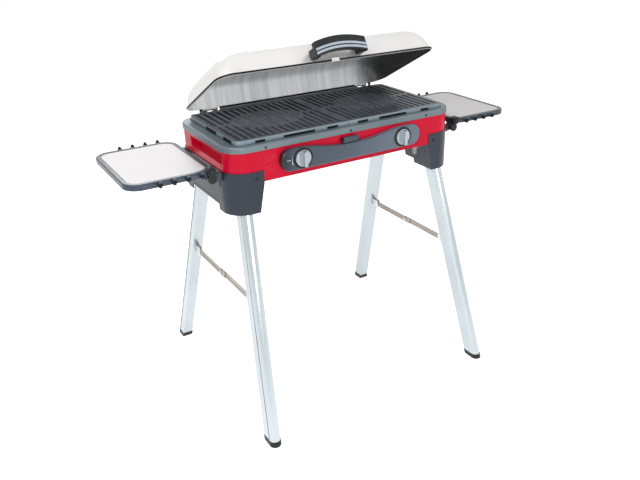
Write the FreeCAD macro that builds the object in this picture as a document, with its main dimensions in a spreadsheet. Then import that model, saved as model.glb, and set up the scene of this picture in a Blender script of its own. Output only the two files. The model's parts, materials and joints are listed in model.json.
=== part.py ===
"""Two-burner gas barbecue on four splayed legs, with a hinged hood and two fold-down side tables.

The frame is right-handed and in millimetres. +X runs along the long front, the front faces -Y,
+Z is up, and the origin lies on the floor under the middle of the casing.
The hood is drawn closed in the frame of its hinge and then swung open by hood_angle.
"""
import FreeCAD, Part
import math
import os
import re
import Sketcher

doc = FreeCAD.newDocument("gas_barbecue")
sizes = doc.addObject("Spreadsheet::Sheet", "sizes")

SIZES = {
    # casing, rim and feet level
    "casing_width": 680, "casing_depth": 323, "casing_corner": 53, "casing_bottom": 653,
    "rim_bottom": 731, "rim_height": 16, "rim_overlap": 2, "rim_round": 5,
    "sheet_wall": 2, "grip_length": 192, "grip_middle": -24, "grip_low": 700, "grip_high": 724,
    "grip_reach": 16, "seat_gap": 0.3, "running_gap": 0.05, "fit_gap": 0.5,
    # grates and the firebox that carries them
    "grate_length": 311, "grate_depth": 290, "grate_thick": 11, "grate_border": 12,
    "grate_corner": 14, "grate_split": 1, "slot_count": 16, "slot_width": 9.5, "bridge_depth": 12,
    "oval_length": 200, "oval_depth": 150, "oval_drop": 2, "rim_margin": 2.5,
    "firebox_wall": 1.5, "firebox_inset": 5, "firebox_floor": 672, "flange_thick": 1.5,
    "tray_gap": 1.5, "tray_height": 11, "tray_length": 490, "tray_pull": 16,
    # burners, valves and gas line
    "burner_length": 170, "burner_depth": 96, "burner_tube": 9, "burner_level": 704,
    "feed_tube": 6, "valve_radius": 9, "spindle_radius": 4, "gas_tube": 6,
    "gas_line_drop": 16, "gas_line_back": 10.5, "valve_bore_depth": 10, "inlet_place": 215, "inlet_radius": 6.5, "inlet_length": 22,
    # control panel and knobs
    "panel_half": 211, "panel_low": 668, "panel_high": 724, "panel_waist": 709,
    "waist_half": 50, "shoulder_half": 140, "panel_thick": 15, "panel_round": 4, "shoulder_round": 260,
    "knob_place": 152, "knob_level": 697, "knob_radius": 21, "knob_skirt": 7, "knob_grip": 17,
    "knob_bar": 9, "bezel_radius": 24, "bezel_proud": 1, "bezel_dish": 8, "knob_travel": 3,
    # latch
    "latch_place": -8, "latch_level": 717, "latch_width": 52, "latch_height": 13, "latch_reach": 8,
    # hood
    "hood_width": 638, "hood_depth": 298, "hood_lift": 1.5, "hood_height": 66, "hood_wall": 1.2,
    "hood_corner": 40, "hood_side_slope": 36, "hood_front_slope": 18, "hood_round": 22,
    "hood_angle": 28, "hinge_setback": 2.5, "hinge_place": 245,
    "hinge_width": 46, "hinge_pin": 2.5, "knuckle_wall": 2,
    "handle_length": 150, "handle_bow": 14, "handle_height": 30, "handle_thick": 13,
    "handle_reach": 32, "handle_low": 14, "catch_width": 22,
    # leg housings
    "housing_outer": 343, "housing_side": 163.5, "housing_inner": 253, "housing_low_inner": 268,
    "housing_top": 682, "housing_bottom": 576, "housing_wall": 2.5, "pocket_side": 47,
    "housing_middle_low": 590, "arch_half": 85, "screw_radius": 4,
    # legs and braces
    "leg_width": 29.5, "leg_depth": 46, "leg_nose": 22, "leg_wall": 2, "leg_top": 644,
    "leg_x": 297.6, "leg_y": 135, "leg_level": 580, "splay_x": 4.85, "splay_y": 16.93,
    "pivot_level": 636, "pivot_radius": 5, "pin_length": 83, "pin_middle": 299.6, "plug_height": 14, "plug_lip": 0.8,
    "brace_level": 350, "brace_height": 18, "brace_thick": 2.5, "brace_tip": 14,
    "brace_run": 62, "stud_radius": 3, "stud_setback": 8, "clip_reach": 26, "clip_thick": 2.5,
    "clip_height": 24, "fold_angle": 12,
    # side tables
    "table_inner": 366, "table_outer": 574, "table_half": 139, "table_top": 700,
    "table_thick": 14, "table_corner": 38, "table_rim": 12, "plate_thick": 1.2,
    "plate_drop": 1, "hook_reach": 15, "hook_radius": 3.2, "hook_first": 403, "hook_pitch": 33,
    "hook_count": 4, "arm_place": 114, "arm_thick": 10, "arm_height": 22, "arm_root": 320,
    "pivot_out": 372, "pivot_drop": 26, "table_pin": 4, "thumb_radius": 11, "thumb_thick": 9, "lug_thick": 3, "pin_reach": 10, "table_round": 3,
}
for row, (alias, number) in enumerate(SIZES.items(), start=1):
    sizes.set(f"A{row}", alias)
    sizes.set(f"B{row}", str(number))
    sizes.setAlias(f"B{row}", alias)
doc.recompute()

WORDS = re.compile(r"[a-z]+(?:_[a-z]+)+")


def bound(words):
    """Turn a sum of size names into an expression on the spreadsheet."""
    return WORDS.sub(lambda found: "sizes." + found.group(0), str(words))


def number(words):
    """Work out a sum of size names now."""
    return float(sizes.evalExpression(bound(words)))


def tie(item, field, words):
    item.setExpression(field, bound(words))


def point(along_x, along_y, along_z):
    return FreeCAD.Vector(number(along_x), number(along_y), number(along_z))


# ---------------------------------------------------------------- drawing helpers

ROLES = {"XY": "XY_Plane", "XZ": "XZ_Plane", "YZ": "YZ_Plane"}
X_AXIS = FreeCAD.Vector(1, 0, 0)
Y_AXIS = FreeCAD.Vector(0, 1, 0)
Z_AXIS = FreeCAD.Vector(0, 0, 1)


def new_body(label):
    body = doc.addObject("PartDesign::Body", label)
    body.Label = label
    return body


def new_sketch(body, plane, level="0"):
    """A sketch on one of the body's own planes, moved along that plane's normal by level."""
    sketch = body.newObject("Sketcher::SketchObject", body.Name + "_sketch")
    datum = [each for each in body.Origin.OriginFeatures if each.Role == ROLES[plane]][0]
    sketch.AttachmentSupport = [(datum, "")]
    sketch.MapMode = "FlatFace"
    tie(sketch, "AttachmentOffset.Base.z", level)
    return sketch


def pin_point(sketch, line, end, across, up):
    """Hold one end of a line at a place given by the sizes."""
    for kind, words in (("DistanceX", across), ("DistanceY", up)):
        index = sketch.addConstraint(Sketcher.Constraint(kind, -1, 1, line, end, number(words)))
        tie(sketch, f"Constraints[{index}]", words)


def draw_polygon(sketch, corners):
    """A closed outline of straight lines; each corner is a pair of sums of sizes."""
    places = [FreeCAD.Vector(number(across), number(up), 0) for across, up in corners]
    count = len(places)
    lines = []
    for index, place in enumerate(places):
        line = Part.LineSegment(place, places[(index + 1) % count])
        lines.append(sketch.addGeometry(line, False))
    for index, line in enumerate(lines):
        follower = lines[(index + 1) % count]
        sketch.addConstraint(Sketcher.Constraint("Coincident", line, 2, follower, 1))
        pin_point(sketch, line, 1, *corners[index])


def draw_circle(sketch, across, up, radius):
    centre = FreeCAD.Vector(number(across), number(up), 0)
    ring = sketch.addGeometry(Part.Circle(centre, FreeCAD.Vector(0, 0, 1), number(radius)), False)
    index = sketch.addConstraint(Sketcher.Constraint("Radius", ring, number(radius)))
    tie(sketch, f"Constraints[{index}]", radius)
    pin_point(sketch, ring, 3, across, up)


def add_pad(body, sketch, length, direction=None):
    """Thicken a sketch along its normal, or along a slanted direction with length still upright."""
    pad = body.newObject("PartDesign::Pad", body.Name + "_pad")
    pad.Profile = sketch
    if direction is not None:
        pad.UseCustomVector = True
        pad.Direction = direction
        pad.AlongSketchNormal = True
    tie(pad, "Length", length)
    return pad


def add_fillet(body, edges, radius):
    fillet = body.newObject("PartDesign::Fillet", body.Name + "_fillet")
    fillet.Base = (fillet.BaseFeature or body.Tip, edges)
    tie(fillet, "Radius", radius)
    return fillet


def edges_where(shape, test):
    return [f"Edge{index}" for index, edge in enumerate(shape.Edges, start=1) if test(edge)]


def runs_along(edge, axis):
    """True for a straight edge whose direction is close to the axis."""
    if len(edge.Vertexes) != 2 or edge.Curve.TypeId != "Part::GeomLine":
        return False
    run = edge.Vertexes[1].Point - edge.Vertexes[0].Point
    return abs(run.normalize().dot(axis)) > 0.9


def lies_at(edge, axis, level):
    box = edge.BoundBox
    centre = FreeCAD.Vector(box.Center)
    flat = FreeCAD.Vector(box.XLength, box.YLength, box.ZLength).dot(axis) < 0.01
    return flat and abs(centre.dot(axis) - level) < 0.01


def rounded_block(label, left, right, front, back, low, high, corner, top_round=None):
    """An upright block with rounded vertical corners, and a rounded top edge where one is asked."""
    body = new_body(label)
    sketch = new_sketch(body, "XY", low)
    draw_polygon(sketch, [(left, front), (right, front), (right, back), (left, back)])
    pad = add_pad(body, sketch, f"({high}) - ({low})")
    doc.recompute()
    upright = edges_where(pad.Shape, lambda edge: runs_along(edge, Z_AXIS))
    fillet = add_fillet(body, upright, corner)
    if top_round:
        doc.recompute()
        level = number(high)
        rim = edges_where(fillet.Shape, lambda edge: lies_at(edge, Z_AXIS, level))
        add_fillet(body, rim, top_round)
    return body


def centred_block(label, width, depth, low, high, corner, top_round=None):
    return rounded_block(label, f"-({width}) / 2", f"({width}) / 2", f"-({depth}) / 2",
                         f"({depth}) / 2", low, high, corner, top_round)


def prism(label, plane, corners, level, length, rounds=()):
    """A straight-sided outline thickened along the plane's normal; rounds are (test, radius)."""
    body = new_body(label)
    sketch = new_sketch(body, plane, level)
    draw_polygon(sketch, corners)
    feature = add_pad(body, sketch, length)
    for test, radius in rounds:
        doc.recompute()
        feature = add_fillet(body, edges_where(feature.Shape, test), radius)
    return body


def box(label, low_x, high_x, low_y, high_y, low_z, high_z):
    item = doc.addObject("Part::Box", label)
    tie(item, "Length", f"({high_x}) - ({low_x})")
    tie(item, "Width", f"({high_y}) - ({low_y})")
    tie(item, "Height", f"({high_z}) - ({low_z})")
    tie(item, "Placement.Base.x", low_x)
    tie(item, "Placement.Base.y", low_y)
    tie(item, "Placement.Base.z", low_z)
    return item


def rod(label, radius, length, start, direction):
    """A round bar that starts at a place given by the sizes and runs along a direction."""
    item = doc.addObject("Part::Cylinder", label)
    tie(item, "Radius", radius)
    tie(item, "Height", length)
    item.Placement.Rotation = FreeCAD.Rotation(Z_AXIS, direction)
    for axis, words in zip("xyz", start):
        tie(item, f"Placement.Base.{axis}", words)
    return item


def fuse(label, items):
    item = doc.addObject("Part::MultiFuse", label)
    item.Shapes = items
    return item


def cut(label, base, tools):
    item = doc.addObject("Part::Cut", label)
    item.Base = base
    item.Tool = tools[0] if len(tools) == 1 else fuse(label + "_tools", tools)
    return item


def common(label, first, second):
    item = doc.addObject("Part::MultiCommon", label)
    item.Shapes = [first, second]
    return item


def group(label, items):
    """Identical pieces that share one node, each still a solid of its own."""
    item = doc.addObject("Part::Compound", label)
    item.Links = items
    return item


NODES = []


def node(item, label):
    item.Label = label
    NODES.append(item)
    return item


SIDES = (("left", -1), ("right", 1))
ENDS = (("front", -1), ("rear", 1))
RIM_TOP = "rim_bottom + rim_height"
GRATE_LOW = "rim_bottom + rim_height - 1"
GRATE_TOP = f"{GRATE_LOW} + grate_thick"
FRONT_FACE = "casing_depth / 2"
PANEL_FRONT = f"{FRONT_FACE} + panel_thick"


def span(sign, near, far):
    """The low and high ends of a stretch that is mirrored by sign."""
    return (near, far) if sign > 0 else (f"-({far})", f"-({near})")


# ---------------------------------------------------------------- casing and frame

def build_casing():
    outer = centred_block("casing_outer", "casing_width", "casing_depth", "casing_bottom",
                          "rim_bottom", "casing_corner")
    inner = centred_block("casing_inner", "casing_width - 2 * sheet_wall",
                          "casing_depth - 2 * sheet_wall", "casing_bottom + sheet_wall",
                          "rim_bottom + 10", "casing_corner - sheet_wall")
    walls = cut("casing_walls", outer, [inner])
    pans, openings = [], []
    for side, sign in SIDES:
        pan_x = span(sign, "casing_width / 2 - grip_reach - sheet_wall",
                     "casing_width / 2 - sheet_wall / 2")
        mouth_x = span(sign, "casing_width / 2 - grip_reach", "casing_width / 2 + 1")
        pans.append(box(f"grip_pan_{side}", *pan_x,
                        "grip_middle - grip_length / 2 - sheet_wall",
                        "grip_middle + grip_length / 2 + sheet_wall",
                        "grip_low - sheet_wall", "grip_high + sheet_wall"))
        openings.append(box(f"grip_mouth_{side}", *mouth_x, "grip_middle - grip_length / 2",
                            "grip_middle + grip_length / 2", "grip_low", "grip_high"))
        openings.append(rod(f"spindle_hole_{side}", "spindle_radius + 1", "20",
                            (f"{sign} * knob_place", f"-({FRONT_FACE}) - 10", "knob_level"),
                            Y_AXIS))
    openings.append(box("tray_slot", "-tray_length / 2 - tray_gap", "tray_length / 2 + tray_gap",
                        f"{FRONT_FACE} - 10", f"{FRONT_FACE} + 10", "casing_bottom + sheet_wall",
                        "casing_bottom + sheet_wall + tray_height + tray_gap"))
    openings.append(rod("inlet_hole", "inlet_radius + seat_gap", "20",
                        ("inlet_place", f"-({FRONT_FACE}) + gas_line_back",
                         "casing_bottom - 10"), Z_AXIS))
    node(cut("casing", fuse("casing_with_pans", [walls] + pans), openings), "body_shell")

    frame_outer = centred_block("frame_outer", "casing_width + 2 * rim_overlap",
                                "casing_depth + 2 * rim_overlap", "rim_bottom", RIM_TOP,
                                "casing_corner + rim_overlap", "rim_round")
    frame_inner = centred_block("frame_inner", "2 * grate_length + grate_split + 2 * rim_margin",
                                "grate_depth + 2 * rim_margin", "rim_bottom - 5",
                                f"{RIM_TOP} + 5", "grate_corner + rim_margin")
    node(cut("frame", frame_outer, [frame_inner]), "top_frame")


def build_firebox():
    width = "2 * grate_length + grate_split - 2 * firebox_inset"
    depth = "grate_depth - 2 * firebox_inset"
    lip = f"{GRATE_LOW} - seat_gap"
    outer = centred_block("firebox_outer", width, depth, "firebox_floor", lip,
                          "grate_corner - firebox_inset + 4")
    flange = centred_block("firebox_flange", "casing_width - 2 * sheet_wall - 2 * fit_gap",
                           "casing_depth - 2 * sheet_wall - 2 * fit_gap",
                           "rim_bottom - flange_thick", "rim_bottom",
                           "casing_corner - sheet_wall - fit_gap")
    inner = centred_block("firebox_inner", f"{width} - 2 * firebox_wall",
                          f"{depth} - 2 * firebox_wall", "firebox_floor + firebox_wall",
                          f"{lip} + 10", "grate_corner - firebox_inset + 4 - firebox_wall")
    holes = [rod(f"feed_hole_{side}", "feed_tube + fit_gap", "20",
                 (f"{sign} * knob_place", f"-({depth}) / 2 - 10", "knob_level"), Y_AXIS)
             for side, sign in SIDES]
    drain = rod("drain_hole", "12", "20", ("0", "0", "firebox_floor - 10"), Z_AXIS)
    node(cut("firebox_pan", fuse("firebox_walls", [outer, flange]), [inner, drain] + holes),
         "firebox")

    low = "casing_bottom + sheet_wall + seat_gap"
    tray_front = "-grate_depth / 2 + 4"
    tray_back = f"{FRONT_FACE} + rim_overlap"
    tray = box("tray_outer", "-tray_length / 2", "tray_length / 2", tray_front, tray_back, low,
               f"{low} + tray_height")
    hollow = box("tray_inner", "-tray_length / 2 + firebox_wall", "tray_length / 2 - firebox_wall",
                 f"{tray_front} + firebox_wall", f"{tray_back} - firebox_wall",
                 f"{low} + firebox_wall", f"{low} + tray_height + 5")
    tab = box("tray_tab", "-grip_length / 4", "grip_length / 4", f"{tray_back} - firebox_wall / 2",
              f"{tray_back} + tray_pull", f"{low} + tray_height - firebox_wall",
              f"{low} + tray_height")
    node(fuse("tray_with_tab", [cut("tray", tray, [hollow]), tab]), "grease_tray")


# ---------------------------------------------------------------- burners and gas line

def build_gas():
    burners, valves = [], []
    line_y = f"-({FRONT_FACE}) + gas_line_back"
    line_z = "knob_level - gas_line_drop"
    valve_front = f"-({FRONT_FACE}) + sheet_wall"
    valve_back = "-grate_depth / 2 + 1"
    burner_top = "burner_level"
    burner_low = "burner_level - 14"
    for side, sign in SIDES:
        middle = f"{sign} * (grate_length + grate_split) / 2"
        ring = rounded_block(f"burner_ring_{side}", f"{middle} - burner_length / 2",
                             f"{middle} + burner_length / 2", "-burner_depth / 2",
                             "burner_depth / 2", burner_low, burner_top, "burner_depth / 2 - 1")
        hollow = rounded_block(f"burner_core_{side}",
                               f"{middle} - burner_length / 2 + 2 * burner_tube",
                               f"{middle} + burner_length / 2 - 2 * burner_tube",
                               "-burner_depth / 2 + 2 * burner_tube",
                               "burner_depth / 2 - 2 * burner_tube", f"{burner_low} - 5",
                               f"{burner_top} + 5", "burner_depth / 2 - 2 * burner_tube - 1")
        feed = rod(f"burner_feed_{side}", "feed_tube",
                   f"-burner_depth / 2 + burner_tube - ({valve_back}) - seat_gap",
                   (f"{sign} * knob_place", f"{valve_back} + seat_gap", "knob_level"), Y_AXIS)
        posts = [rod(f"burner_post_{side}_{place}", "burner_tube / 2",
                     f"{burner_low} + 3 - firebox_floor - firebox_wall",
                     (f"{middle} + {step} * (burner_length / 2 - burner_tube)", "0",
                      "firebox_floor + firebox_wall"), Z_AXIS)
                 for place, step in (("outer", -1), ("inner", 1))]
        loop = cut(f"burner_loop_{side}", ring, [hollow])
        burners.append(fuse(f"burner_{side}", [loop, feed] + posts))

        barrel = rod(f"valve_barrel_{side}", "valve_radius", f"{valve_back} - ({valve_front})",
                     (f"{sign} * knob_place", valve_front, "knob_level"), Y_AXIS)
        drop = rod(f"valve_drop_{side}", "gas_tube - 1",
                   f"gas_line_drop - gas_tube - seat_gap / 3",
                   (f"{sign} * knob_place", line_y, f"{line_z} + gas_tube + seat_gap / 3"), Z_AXIS)
        bore = rod(f"valve_bore_{side}", "spindle_radius + running_gap",
                   "valve_bore_depth + 1",
                   (f"{sign} * knob_place", f"{valve_front} - 1", "knob_level"), Y_AXIS)
        valves.append(cut(f"valve_{side}", fuse(f"valve_solid_{side}", [barrel, drop]), [bore]))
    node(group("burner_pair", burners), "burners")
    node(group("valve_pair", valves), "gas_valves")

    run = rod("gas_run", "gas_tube", "knob_place + inlet_place + 2 * gas_tube",
              ("-knob_place - gas_tube", line_y, line_z), X_AXIS)
    turn = rod("gas_turn", "gas_tube", f"{line_z} - casing_bottom - sheet_wall - 2",
               ("inlet_place", line_y, "casing_bottom + sheet_wall + 2"), Z_AXIS)
    node(fuse("gas_pipe", [run, turn]), "gas_manifold")

    tail = rod("inlet_tail", "inlet_radius", "inlet_length + sheet_wall + 1",
               ("inlet_place", line_y, "casing_bottom - inlet_length"), Z_AXIS)
    nut = rod("inlet_nut", "inlet_radius + 3", "5",
              ("inlet_place", line_y, "casing_bottom - 5"), Z_AXIS)
    node(fuse("inlet_fitting", [tail, nut]), "gas_inlet")


# ---------------------------------------------------------------- control panel, knobs, latch

def build_panel():
    corners = [("-panel_half", "panel_low"), ("panel_half", "panel_low"),
               ("panel_half", "panel_high"), ("shoulder_half", "panel_high"),
               ("waist_half", "panel_waist"), ("-waist_half", "panel_waist"),
               ("-shoulder_half", "panel_high"), ("-panel_half", "panel_high")]
    half = number("panel_half")
    front = -number(PANEL_FRONT)

    def at_end(edge):
        return runs_along(edge, Y_AXIS) and abs(abs(edge.CenterOfMass.x) - half) < 0.01

    def at_waist(edge):
        straight = runs_along(edge, Y_AXIS)
        return straight and number("waist_half") - 1 < abs(edge.CenterOfMass.x) < half - 40

    body = prism("panel_solid", "XZ", corners, FRONT_FACE, "panel_thick",
                 ((at_end, "(panel_high - panel_low) / 2 - 1"), (at_waist, "shoulder_round"),
                  (lambda edge: lies_at(edge, Y_AXIS, front), "panel_round")))
    seats = [rod(f"bezel_seat_{side}", "bezel_radius + seat_gap", "panel_thick + 20",
                 (f"{sign} * knob_place", f"-({PANEL_FRONT}) - 10", "knob_level"), Y_AXIS)
             for side, sign in SIDES]
    node(cut("panel", body, seats), "control_panel")

    bezels = []
    bezel_front = f"-({PANEL_FRONT}) - bezel_proud"
    for side, sign in SIDES:
        place = f"{sign} * knob_place"
        disc = rod(f"bezel_disc_{side}", "bezel_radius", "panel_thick + bezel_proud",
                   (place, bezel_front, "knob_level"), Y_AXIS)
        dish = rod(f"bezel_dish_{side}", "bezel_radius - 1.5", "bezel_dish + 5",
                   (place, f"{bezel_front} - 5", "knob_level"), Y_AXIS)
        hole = rod(f"bezel_hole_{side}", "spindle_radius + 1", "panel_thick + 10",
                   (place, f"{bezel_front} - 3", "knob_level"), Y_AXIS)
        bezels.append(cut(f"bezel_{side}", disc, [dish, hole]))

        knob_back = f"{bezel_front} + bezel_dish - knob_travel - 1"
        spindle_front = f"{knob_back} - knob_skirt - 3"
        node(rod(f"spindle_{side}", "spindle_radius",
                 f"-({FRONT_FACE}) + sheet_wall + valve_bore_depth - knob_travel - 1"
                 f" - ({spindle_front})", (place, spindle_front, "knob_level"), Y_AXIS),
             f"valve_spindle_{side}")
        skirt = rod(f"knob_skirt_{side}", "knob_radius", "knob_skirt",
                    (place, f"{knob_back} - knob_skirt", "knob_level"), Y_AXIS)
        grip = box(f"knob_grip_{side}", f"{place} - knob_bar / 2", f"{place} + knob_bar / 2",
                   f"{knob_back} - knob_skirt - knob_grip + 4", f"{knob_back} - knob_skirt + 1",
                   "knob_level - knob_radius + 2", "knob_level + knob_radius - 2")
        socket = rod(f"knob_socket_{side}", "spindle_radius + running_gap", "knob_skirt + 3.5",
                     (place, f"{spindle_front} - seat_gap", "knob_level"), Y_AXIS)
        node(cut(f"knob_solid_{side}", fuse(f"knob_form_{side}", [skirt, grip]), [socket]),
             f"control_knob_{side}")
    node(group("bezel_pair", bezels), "knob_bezels")

    latch_back = f"-({FRONT_FACE})"
    base = box("latch_plate", "latch_place - latch_width / 2", "latch_place + latch_width / 2",
               f"{latch_back} - latch_reach / 2 + 1", latch_back, "latch_level - latch_height / 2",
               "latch_level + latch_height / 2")
    pin_y = f"{latch_back} - latch_reach"
    pin_z = "latch_level - latch_height / 2 + 3.5"
    ears = [box(f"latch_ear_{side}", f"latch_place + {sign} * (latch_width / 2 - 2) - 2",
                f"latch_place + {sign} * (latch_width / 2 - 2) + 2", f"{pin_y} - 3",
                f"{latch_back} - 1", "latch_level - latch_height / 2", f"{pin_z} + 3")
            for side, sign in SIDES]
    pin_hole = rod("latch_pin_hole", "1.5 + running_gap", "latch_width + 10",
                   ("latch_place - latch_width / 2 - 5", pin_y, pin_z), X_AXIS)
    node(cut("latch_seat", fuse("latch_solid", [base] + ears), [pin_hole]), "latch_base")
    lever = prism("lever_form", "YZ", [(f"{pin_y} - 3", f"{pin_z} - 3"),
                                       (f"{pin_y} + 3", f"{pin_z} - 3"),
                                       (f"{pin_y} + 3", "latch_level + latch_height / 2 - 2"),
                                       (f"{pin_y} - 1", "latch_level + latch_height / 2 + 2"),
                                       (f"{pin_y} - 4", "latch_level + latch_height / 2")],
                  "latch_place - latch_width / 2 + 4 + seat_gap",
                  "latch_width - 8 - 2 * seat_gap")
    node(cut("lever", lever, [rod("lever_hole", "1.5 + running_gap", "latch_width",
                                  ("latch_place - latch_width / 2", pin_y, pin_z), X_AXIS)]),
         "latch_lever")
    node(rod("lever_pin", "1.5", "latch_width", ("latch_place - latch_width / 2", pin_y, pin_z),
             X_AXIS), "latch_pin")


# ---------------------------------------------------------------- hood and its hinges

HINGE_Y = f"{FRONT_FACE} + hinge_setback"
HINGE_Z = f"{GRATE_TOP} + hood_lift"
KNUCKLE = "hinge_pin + running_gap + knuckle_wall"
HOOD_BACK = f"-({KNUCKLE}) - seat_gap"
HOOD_FRONT = f"{HOOD_BACK} - hood_depth"


def swing(item):
    """Turn a piece drawn in the hinge's frame, with the hood closed, to its open place."""
    turn = FreeCAD.Rotation(X_AXIS, -number("hood_angle"))
    item.Placement = FreeCAD.Placement(point("0", HINGE_Y, HINGE_Z), turn)
    return item


def rounded_wire(half, front, back, radius, level):
    """A level rectangle with quarter-circle corners."""
    quarter = math.sqrt(0.5) * radius
    centres = [(half - radius, back - radius, 1, 1), (-half + radius, back - radius, -1, 1),
               (-half + radius, front + radius, -1, -1), (half - radius, front + radius, 1, -1)]
    arcs = []
    for index, (x, y, out_x, out_y) in enumerate(centres):
        ends = [FreeCAD.Vector(x + out_x * radius, y, level),
                FreeCAD.Vector(x, y + out_y * radius, level)]
        if index % 2:
            ends.reverse()
        middle = FreeCAD.Vector(x + out_x * quarter, y + out_y * quarter, level)
        arcs.append((ends[0], Part.Arc(ends[0], middle, ends[1]).toShape(), ends[1]))
    edges = []
    for index, (_, arc, end) in enumerate(arcs):
        edges.append(arc)
        edges.append(Part.LineSegment(end, arcs[(index + 1) % 4][0]).toShape())
    return Part.Wire(edges)


def hood_block(label, shrink, low):
    """The hood's form: leaning walls, rounded corners and a top edge that rolls over."""
    height = number(f"hood_height - ({shrink})")
    roll = number(f"hood_round - ({shrink})")
    side = number("1 * hood_side_slope")
    front_lean = number("1 * hood_front_slope")
    half = number(f"hood_width / 2 - ({shrink})")
    front = number(f"{HOOD_FRONT} + ({shrink})")
    back = number(f"{HOOD_BACK} - ({shrink})")
    corner = number(f"hood_corner - ({shrink})")
    shoulder = height - roll
    levels = [(number(low), 0.0), (shoulder / 2, 0.0), (shoulder, 0.0)]
    levels += [(shoulder + roll * math.sin(math.radians(turn)),
                roll * (1 - math.cos(math.radians(turn)))) for turn in (25, 50, 75, 90)]
    wires = []
    for level, rolled in levels:
        share = level / height
        across = side * share * share + rolled
        along = front_lean * share + rolled
        wires.append(rounded_wire(half - across, front + along, back - along,
                                  corner - rolled / 2, level))
    item = doc.addObject("Part::Feature", label)
    item.Shape = Part.makeLoft(wires, True, False)
    return item


def build_hood():
    outer = hood_block("hood_outer", "0", "0")
    inner = hood_block("hood_inner", "hood_wall", "-hood_wall")
    node(swing(cut("hood", outer, [inner])), "lid_shell")

    reach = f"{HOOD_FRONT} - handle_reach"
    foot = "handle_low"
    bow_low, bow_high = f"{foot}", f"{foot} + handle_height"
    half = "handle_length / 2"
    bar = prism("handle_bar", "XZ",
                [(f"-{half}", bow_low), (f"-{half} / 3", f"{bow_low} + handle_bow"),
                 (f"{half} / 3", f"{bow_low} + handle_bow"), (half, bow_low),
                 (half, bow_high), (f"{half} / 3", f"{bow_high} + handle_bow"),
                 (f"-{half} / 3", f"{bow_high} + handle_bow"), (f"-{half}", bow_high)],
                f"-({reach}) - handle_thick", "handle_thick",
                ((lambda edge: runs_along(edge, Y_AXIS)
                  and abs(edge.CenterOfMass.x) < number(half) / 2, "handle_length / 2"),))
    posts = [box(f"handle_post_{side}", f"{sign} * ({half} - 14) - 7", f"{sign} * ({half} - 14) + 7",
                 f"{reach} + handle_thick - 1", f"{HOOD_FRONT} + hood_front_slope",
                 f"{foot} + 6", f"{foot} + handle_height - 4") for side, sign in SIDES]
    wall_cut = hood_block("hood_for_handle", "-seat_gap / 3", "-20")
    node(swing(cut("handle", fuse("handle_form", [bar] + posts), [wall_cut])), "lid_handle")

    catch = box("catch_form", "latch_place - catch_width / 2", "latch_place + catch_width / 2",
                f"{HOOD_FRONT} - 3", f"{HOOD_FRONT} + 4", "1", "9")
    wall_again = hood_block("hood_for_catch", "-seat_gap / 3", "-20")
    node(swing(cut("catch", catch, [wall_again])), "lid_catch")

    fixed, moving, pins = [], [], []
    third = "hinge_width / 3"
    for side, sign in SIDES:
        start = f"{sign} * hinge_place - hinge_width / 2"
        hole = rod(f"hinge_hole_{side}", "hinge_pin + running_gap", "hinge_width + 10",
                   (f"{start} - 5", HINGE_Y, HINGE_Z), X_AXIS)
        for step, name in ((0, "outer"), (2, "inner")):
            left = f"{start} + {step} * {third}"
            barrel = rod(f"fixed_knuckle_{side}_{name}", KNUCKLE, f"{third} - seat_gap",
                         (left, HINGE_Y, HINGE_Z), X_AXIS)
            leg = box(f"fixed_leg_{side}_{name}", left, f"{left} + {third} - seat_gap",
                      f"{HINGE_Y} - hinge_pin", f"{HINGE_Y} + hinge_pin", RIM_TOP, HINGE_Z)
            fixed.append((barrel, leg))
        foot_plate = box(f"fixed_foot_{side}", start, f"{start} + hinge_width - seat_gap",
                         f"{HINGE_Y} - 12", f"{HINGE_Y} + hinge_pin", RIM_TOP, f"{RIM_TOP} + 2")
        solid = fuse(f"fixed_leaf_solid_{side}", [foot_plate] + [p for pair in fixed[-2:] for p in pair])
        fixed[-2:] = [("leaf", cut(f"fixed_leaf_{side}", solid, [hole]))]
        pins.append(rod(f"hinge_rod_{side}", "hinge_pin", "hinge_width",
                        (start, HINGE_Y, HINGE_Z), X_AXIS))

        left = f"{start} + {third}"
        barrel = rod(f"moving_knuckle_{side}", KNUCKLE, f"{third} - seat_gap",
                     (left, "0", "0"), X_AXIS)
        plate = prism(f"moving_plate_{side}", "YZ",
                      [(f"{HOOD_BACK} + hood_wall", "1"), ("0", "1"), ("0", f"{KNUCKLE}"),
                       (f"{HOOD_BACK} - 5", "26"), (f"{HOOD_BACK} - 9", "26")],
                      left, f"{third} - seat_gap")
        local_hole = rod(f"moving_hole_{side}", "hinge_pin + running_gap", "hinge_width",
                         (f"{left} - 5", "0", "0"), X_AXIS)
        wall = hood_block(f"hood_for_hinge_{side}", "-seat_gap / 3", "-20")
        moving.append(cut(f"moving_leaf_{side}", fuse(f"moving_solid_{side}", [barrel, plate]),
                          [local_hole, wall]))
    node(group("fixed_leaves", [leaf for _, leaf in fixed]), "hinge_frame_leaves")
    node(swing(group("moving_leaves", moving)), "hinge_lid_leaves")
    node(group("hinge_rods", pins), "hinge_pins")


# ---------------------------------------------------------------- grates

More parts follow.
